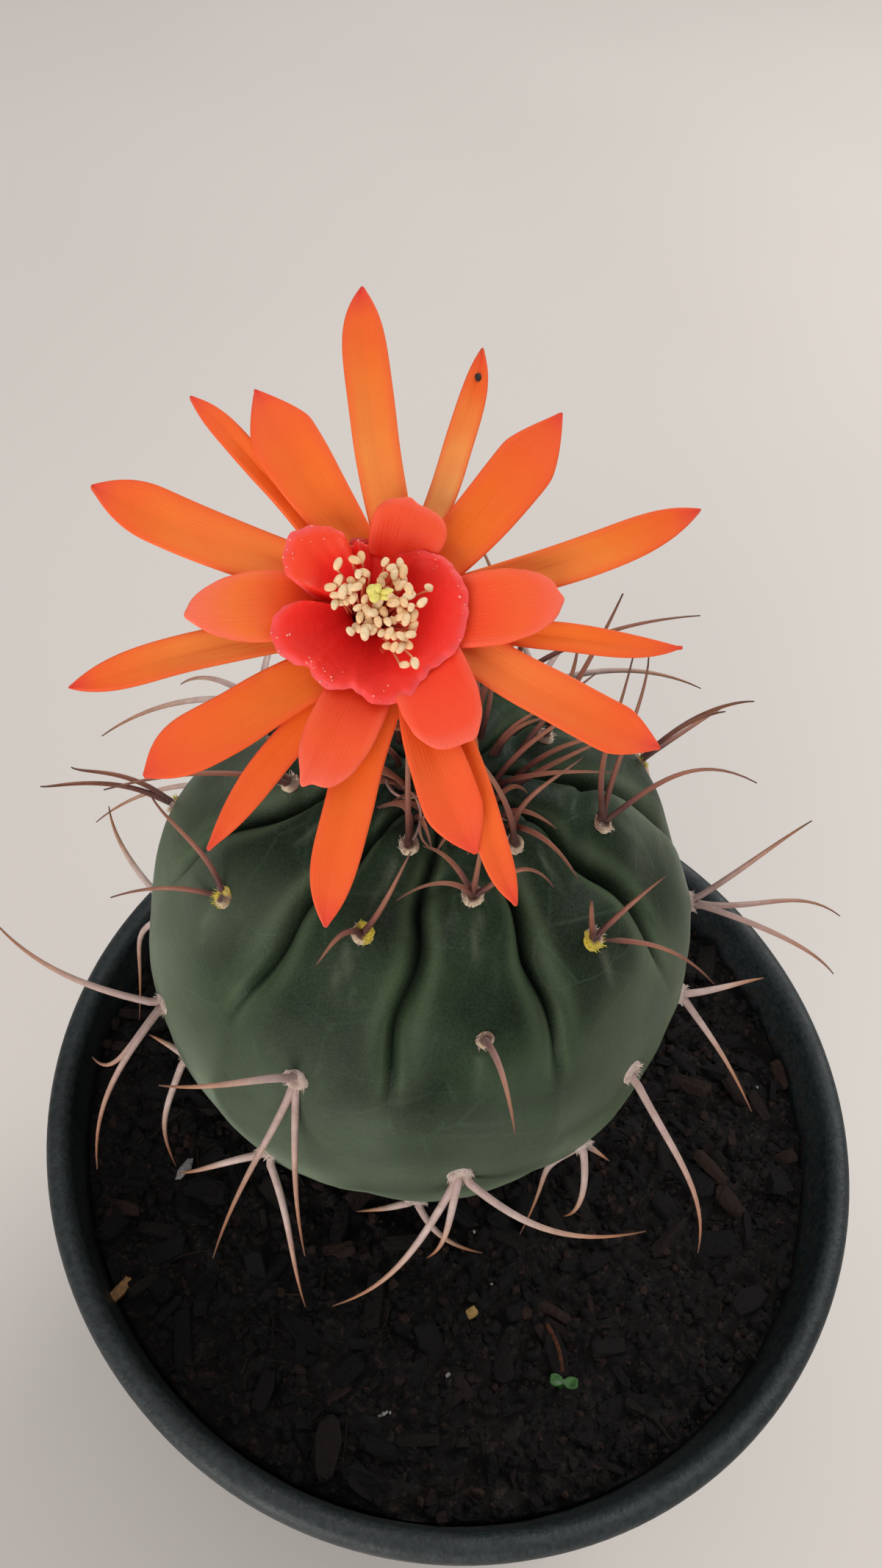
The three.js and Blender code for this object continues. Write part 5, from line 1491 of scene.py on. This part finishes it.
# The funnel in the throat widens into a cup with a lobed rim: one skin that goes up the
# outside, over the rim and down the inside again. A plain ring has a radius and a height; a
# ring of the cup has its share of the way to the rim and how far it lies under the upper side.
funnel_low = -THROAT_DEPTH + 0.3
cup_rings = [("plain", 3.2, funnel_low), ("plain", 4.0, funnel_low)]
cup_rings += [("plain", 4.0, -THROAT_DEPTH / 2), ("plain", 4.6, -3)]
cup_rings += [("cup", share, CUP_WALL) for share in (0.45, 0.6, 0.75, 0.87, 0.95)]
cup_rings.append(("cup", 0.99, 0.6 * CUP_WALL))
for share in (1.0, 0.97, 0.93, 0.87, 0.8, 0.72, 0.63, 0.54, 0.45, 0.36, 0.27, 0.18, 0.09, 0.0):
    cup_rings.append(("cup", share, 0))
cup_rings += [("plain", 1.6, -3.4), ("plain", 1.5, -THROAT_DEPTH / 2), ("plain", 1.5, funnel_low)]
cup = raised("throat_cup", CUP_SIDES, len(cup_rings) + 1, "NOTHING")
looks = {"rim": [], "coral": [], "depth": []}
for vertex in cup.data.vertices:
    kind, share, drop = cup_rings[round(vertex.co.z) % len(cup_rings)]
    turn = degrees(atan2(vertex.co.x, vertex.co.y)) % 360
    if kind == "plain":
        spot = in_mouth(vertex.co.x * share, vertex.co.y * share, drop)
        share = 0
    else:
        spot = cup_point(turn, share) - facing * drop
    vertex.co = spot * MM
    looks["rim"].append(eased(0.86, 1, share))
    looks["coral"].append(cup_rim(turn)[2] * eased(0.35, 0.8, share))
    looks["depth"].append(1 - share)
mark_all(cup, looks)
in_edit(lambda: bpy.ops.mesh.remove_doubles(threshold=0.000002), face_out)
smooth_over(cup, 60)

inner_finish, tree = new_finish(
    "coral_tepal", Roughness=0.48, Specular_IOR_Level=0.2, Subsurface_Weight=0.3,
    Subsurface_Scale=0.0015, Subsurface_Radius=(1.0, 0.3, 0.15), Sheen_Weight=0.04,
    Sheen_Roughness=0.4, Sheen_Tint=paint(255, 170, 150))
vein_mask, from_mid, lengthway = veined(tree, 34.0, 0.3)
inner_red = ramp(tree, lengthway, [
    (0.0, 238, 42, 28), (0.4, 248, 58, 32), (0.8, 250, 72, 42), (1.0, 254, 110, 86)])
inner_orange = ramp(tree, lengthway, [
    (0.0, 236, 50, 30), (0.3, 246, 92, 38), (0.65, 250, 122, 52), (1.0, 254, 118, 92)])
inner_paint = mix_paint(tree, marked(tree, "redness"), inner_orange, inner_red)
inner_paint = tinted(tree, inner_paint, stretch(tree, from_mid, 0.7, 1.0), 0.45, (254, 112, 84))
inner_paint = tinted(tree, inner_paint, vein_mask, 0.08, (226, 46, 26))
feed(tree, "Base Color", inner_paint)
roughen(tree, vein_mask, 0.00012, 0.5)
bring_in(inner_tepals, "inner_tepals", inner_finish, "flower_inner_tepals")

cup_finish, tree = new_finish(
    "wet_red_cup", Roughness=0.45, Specular_IOR_Level=0.2, Subsurface_Weight=0.3,
    Subsurface_Scale=0.0015, Subsurface_Radius=(1.0, 0.25, 0.2))
cup_paint = ramp(tree, marked(tree, "depth"), [
    (0.0, 250, 62, 44), (0.3, 250, 46, 34), (0.6, 246, 40, 36), (1.0, 232, 30, 38)])
cup_paint = tinted(tree, cup_paint, mottled(tree, 300.0, 3.0, 0.4), 0.3, (242, 52, 40))
cup_paint = mix_paint(tree, marked(tree, "coral"), cup_paint, (250, 74, 42))
cup_paint = tinted(
    tree, cup_paint, marked(tree, "rim"), stretch(tree, mottled(tree, 520.0, 4.0, 0.4), 0, 1, 0.3, 0.9),
    (252, 100, 104))
feed(tree, "Base Color", cup_paint)
feed(tree, "Roughness", stretch(tree, mottled(tree, 700.0, 3.0, 0.4), 0, 1, 0.34, 0.55))
roughen(tree, mottled(tree, 1300.0, 4.0, 0.4), 0.0001, 0.4)
bring_in(cup, "inner_tepals", cup_finish)

bead_pattern = as_pattern(new_piece(
    "bead", bpy.ops.mesh.primitive_ico_sphere_add, subdivisions=2, radius=1))
beads = []
for k, (low_turn, high_turn, count) in enumerate(BEADED_TURNS):
    for item in range(count):
        seed = 400 + k * 50 + item
        size = between(0.05, 0.14, draw(seed + 0.6) ** 2)
        share = 0.985 - 0.25 * draw(seed + 0.3) ** 2
        centre = cup_point(pick(low_turn, high_turn, seed) % 360, share) + facing * 0.05
        beads.append((lambda spot, centre=centre, size=size: centre + spot * size, draw(seed + 0.9)))
clear_beads = copied("clear_beads", bead_pattern, beads, 80)
bead_finish, tree = new_finish("clear_bead", Roughness=0.08, Specular_IOR_Level=0.6)
feed(tree, "Base Color", mix_paint(tree, marked(tree, "tone"), (244, 110, 100), (252, 176, 158)))
roughen(tree, mottled(tree, 6000.0, 2.0, 0.5), 0.00002, 0.3)
bring_in(clear_beads, "inner_tepals", bead_finish)


# Stamens: some seventy thin filaments from a ring deep in the throat, each with a cream,
# bean-shaped anther on its tip. They crowd the mouth, thickest low on the right.
ANTHER_LENGTH = 1.22
ANTHER_RADIUS = 0.37
FILAMENT_RADIUS = 0.14
# Where the upper anthers lie across the mouth, from its middle
ANTHERS = [
    (-3.3, 2.7), (-1.9, 3.2), (-1.3, 3.6), (-3.2, 1.3), (-3.9, 0.7), (-3.4, 0), (-3.4, -0.8),
    (4.8, 1.3), (4.1, -0.3), (2.9, -5.6), (3.8, -5.4), (0.8, 3.2), (0.7, 2), (1.4, 2.6), (2.1, 3),
    (2.4, 2.4), (1.9, 1.6), (2.2, 1.2), (2.9, 0.9), (2.5, 1.8), (1.6, 2.1), (-1.5, 1.9),
    (-0.9, 2.1), (-2, 1.3), (-2.6, 0.7), (-2.8, 0.1), (-3, -0.5), (-2.2, 0.5), (-1.6, 0.7),
    (-1.2, 1.3), (-1.8, -0.1), (-2.4, -0.3), (2, -0.1), (2.5, -0.3), (3, 0.3), (1.6, -0.5),
    (2.3, -0.9), (-1.9, -3.2), (-1.4, -2.7), (-1.2, -1.9), (-0.6, -1.3), (-0.4, -1.7), (-0.1, -1.4),
    (-0.7, -3.3), (-0.6, -2.7), (0.1, -2.7), (-0.3, -2.1), (0.4, -2.1), (1.2, -2.1), (1.8, -1.9),
    (2.3, -1.6), (2.8, -1.3), (3.5, -1.3), (3.6, -2.1), (2.8, -1.9), (1.4, -3.1), (1.9, -3.2),
    (2.5, -3.3), (2.9, -3.1), (1.4, -4.1), (1.9, -4.3), (2.5, -4.2), (3.1, -3.8), (3.3, -3.1),
    (3.5, -2.3), (0.8, -3.1), (0.5, 1.4), (1.1, 0.8), (1.2, 0.2), (0.3, -0.5), (-0.8, -0.2),
    (-1.3, -1), (0.8, -1.1), (3.2, -0.7),
]
anther_pattern = as_pattern(new_piece(
    "anther", bpy.ops.mesh.primitive_uv_sphere_add, segments=12, ring_count=9, radius=1))
filament_pattern = rod_pattern(5, 9)
anthers, filaments = [], []
for k, (x, y) in enumerate(ANTHERS):
    seed = 700 + k
    height = 4.55 + 1.15 * draw(seed) - 0.1 * hypot(x, y)
    centre = in_mouth(x, y, height)
    lying = 2 * pi * draw(seed + 0.2)
    tip_up = pick(0.15, 0.85, seed + 0.4)
    length_way = (face_right * cos(lying) + face_up * sin(lying)) * sqrt(1 - tip_up ** 2) + facing * tip_up
    side_way = length_way.cross(facing).normalized()
    top_way = side_way.cross(length_way)
    size = pick(0.88, 1.12, seed + 0.6)

    def anther_point(spot, centre=centre, length_way=length_way, side_way=side_way,
                     top_way=top_way, size=size):
        seam = 1 - 0.22 * exp(-(spot.x / 0.28) ** 2) * (1 if spot.y > 0 else 0.5)
        long = spot.z * ANTHER_LENGTH / 2
        bent = 0.12 * spot.z * spot.z
        return centre + (length_way * long + side_way * (spot.x * ANTHER_RADIUS)
                         + top_way * (spot.y * ANTHER_RADIUS * seam - bent)) * size
    anthers.append((anther_point, draw(seed + 0.8)))
    angle = atan2(y, x)
    root_radius = pick(1.3, 2.5, seed + 0.9)
    root = in_mouth(root_radius * cos(angle), root_radius * sin(angle), -THROAT_DEPTH + 0.6)
    end = centre - length_way * (0.35 * ANTHER_LENGTH)
    rise = in_mouth(x * 0.45, y * 0.45, height * 0.45)

    def filament_path(part, root=root, rise=rise, end=end):
        rest = 1 - part
        return root * rest * rest + rise * (2 * rest * part) + end * part * part
    filaments.append((along_path(
        filament_path, lambda part: FILAMENT_RADIUS * (1 - 0.3 * part), face_right), 0.5))
anther_piece = copied("anthers", anther_pattern, anthers, 80)
filament_piece = copied("filaments", filament_pattern, filaments, 80)
mark(filament_piece, "along", [point.z for point in filament_pattern[0]] * len(filaments))

anther_finish, tree = new_finish(
    "pollen_cream", Roughness=0.85, Specular_IOR_Level=0.2, Subsurface_Weight=0.05,
    Subsurface_Scale=0.0006, Subsurface_Radius=(1.0, 0.7, 0.4))
cream = mix_paint(tree, marked(tree, "tone"), (255, 232, 190), (255, 210, 156))
cream = tinted(tree, cream, mottled(tree, 2200.0, 3.0, 0.4), 0.25, (248, 186, 128))
feed(tree, "Base Color", cream)
roughen(tree, mottled(tree, 5200.0, 3.0, 0.5), 0.00012, 0.9)
bring_in(anther_piece, "anthers", anther_finish, "flower_stamens")

filament_finish, tree = new_finish("filament_flesh", Roughness=0.45)
flesh = ramp(tree, marked(tree, "along"), [
    (0.0, 206, 60, 44), (0.7, 228, 110, 76), (1.0, 240, 180, 130)])
feed(tree, "Base Color", tinted(tree, flesh, mottled(tree, 900.0, 2.0, 0.4), 0.2, (240, 150, 110)))
roughen(tree, mottled(tree, 3000.0, 3.0, 0.4), 0.0001, 0.5)
bring_in(filament_piece, "anthers", filament_finish)


# Pistil: one straight style from the floor of the throat, topped by a stigma of soft
# yellow-green lobes that are still half folded together.
STYLE_TOP = 6.4
STYLE_RADIUS = 0.5
# Each lobe of the stigma: its turn clockwise from up, how far its tip leans out, its
# thickness and its length
STIGMA_LOBES = [
    (-50, 0.5, 0.55, 1.9), (15, 0.55, 0.45, 2.0), (190, 0.5, 0.5, 1.7), (-100, 0.3, 0.4, 1.2),
    (80, 1.5, 0.3, 1.9), (112, 1.2, 0.26, 1.5),
]
style_foot = in_mouth(0, 0, -THROAT_DEPTH + 0.3)
style_head = in_mouth(0, 0, STYLE_TOP)
style_piece = copied("style", rod_pattern(12, 7), [(along_path(
    lambda part: style_foot.lerp(style_head, part), lambda part: STYLE_RADIUS, face_right), 0.0)], 60)
stigma = []
for turn, lean, thick, long in STIGMA_LOBES:
    lean_way = face_right * sin(radians(turn)) + face_up * cos(radians(turn))

    def stigma_path(part, lean_way=lean_way, lean=lean, long=long):
        return (style_head - facing * 0.6 + lean_way * (0.2 + (lean - 0.2) * part)
                + facing * (long * part * (1 - 0.3 * part)))

    def stigma_thick(part, thick=thick):
        return thick * sqrt(max(0.02, 1 - (2 * part - 0.9) ** 2 / 1.3))
    stigma.append((along_path(stigma_path, stigma_thick, lean_way), 0.5))
bring_in(copied("stigma", rod_pattern(10, 12), stigma, 80), "stigma", speckled(
    "stigma_velvet", (1700.0, 3.0, 0.5), (240, 228, 130), (226, 212, 104), (4200.0, 3.0, 0.5),
    0.0001, 0.8, Roughness=0.7, Specular_IOR_Level=0.25), "flower_pistil")
bring_in(style_piece, "stigma", speckled(
    "style_flesh", (600.0, 3.0, 0.4), (214, 92, 66), (222, 130, 84), (2400.0, 3.0, 0.4),
    0.0001, 0.5, Roughness=0.45))


# Seedling: a weed that has just come up in the mix, a short stalk with two round seed leaves.
SEEDLING_SPOT = Vector((25, -45, 0))
SEEDLING_HEIGHT = 4
SEEDLING_LEAF_LENGTH = 2.2
SEEDLING_LEAF_WIDTH = 2
seedling_top = soil_level(SEEDLING_SPOT.x, SEEDLING_SPOT.y)
seedling_foot = Vector((SEEDLING_SPOT.x, SEEDLING_SPOT.y, seedling_top - SEEDLING_HEIGHT + 0.3))
seedling_head = Vector((SEEDLING_SPOT.x, SEEDLING_SPOT.y, seedling_top + SEEDLING_HEIGHT))


def stalk_path(part):
    return seedling_foot.lerp(seedling_head, part) + Vector((0.25, 0.1, 0)) * sin(pi * part)


stalk = copied("seedling_stalk", rod_pattern(10, 8), [
    (along_path(stalk_path, lambda part: between(0.5, 0.38, part), Vector((1, 0, 0))), 0.5)], 60)
seed_leaves = []
for way in (-1, 1):
    def leaf_point(s, v, way=way):
        wide = SEEDLING_LEAF_WIDTH / 2 * sqrt(max(0.03, 1 - (2 * v - 1.12) ** 2 / 1.26))
        dip = -0.25 * (1 - s * s) * sin(pi * v)
        return seedling_head + Vector((
            way * (SEEDLING_LEAF_LENGTH + 0.2) * v, way * -s * wide, 0.8 * v - 0.35 + dip))
    seed_leaves.append(blade(8, 10, leaf_point, 0.5))
leaves = gather("seedling_leaves", seed_leaves)
leaf_finish = speckled(
    "seedling_green", (700.0, 3.0, 0.4), (32, 70, 24), (50, 96, 34), (1500.0, 3.0, 0.4), 0.0001, 0.5,
    Roughness=0.45)
bring_in(leaves, "seedling_leaf", leaf_finish, "seedling")
bring_in(stalk, "seedling_leaf", leaf_finish)
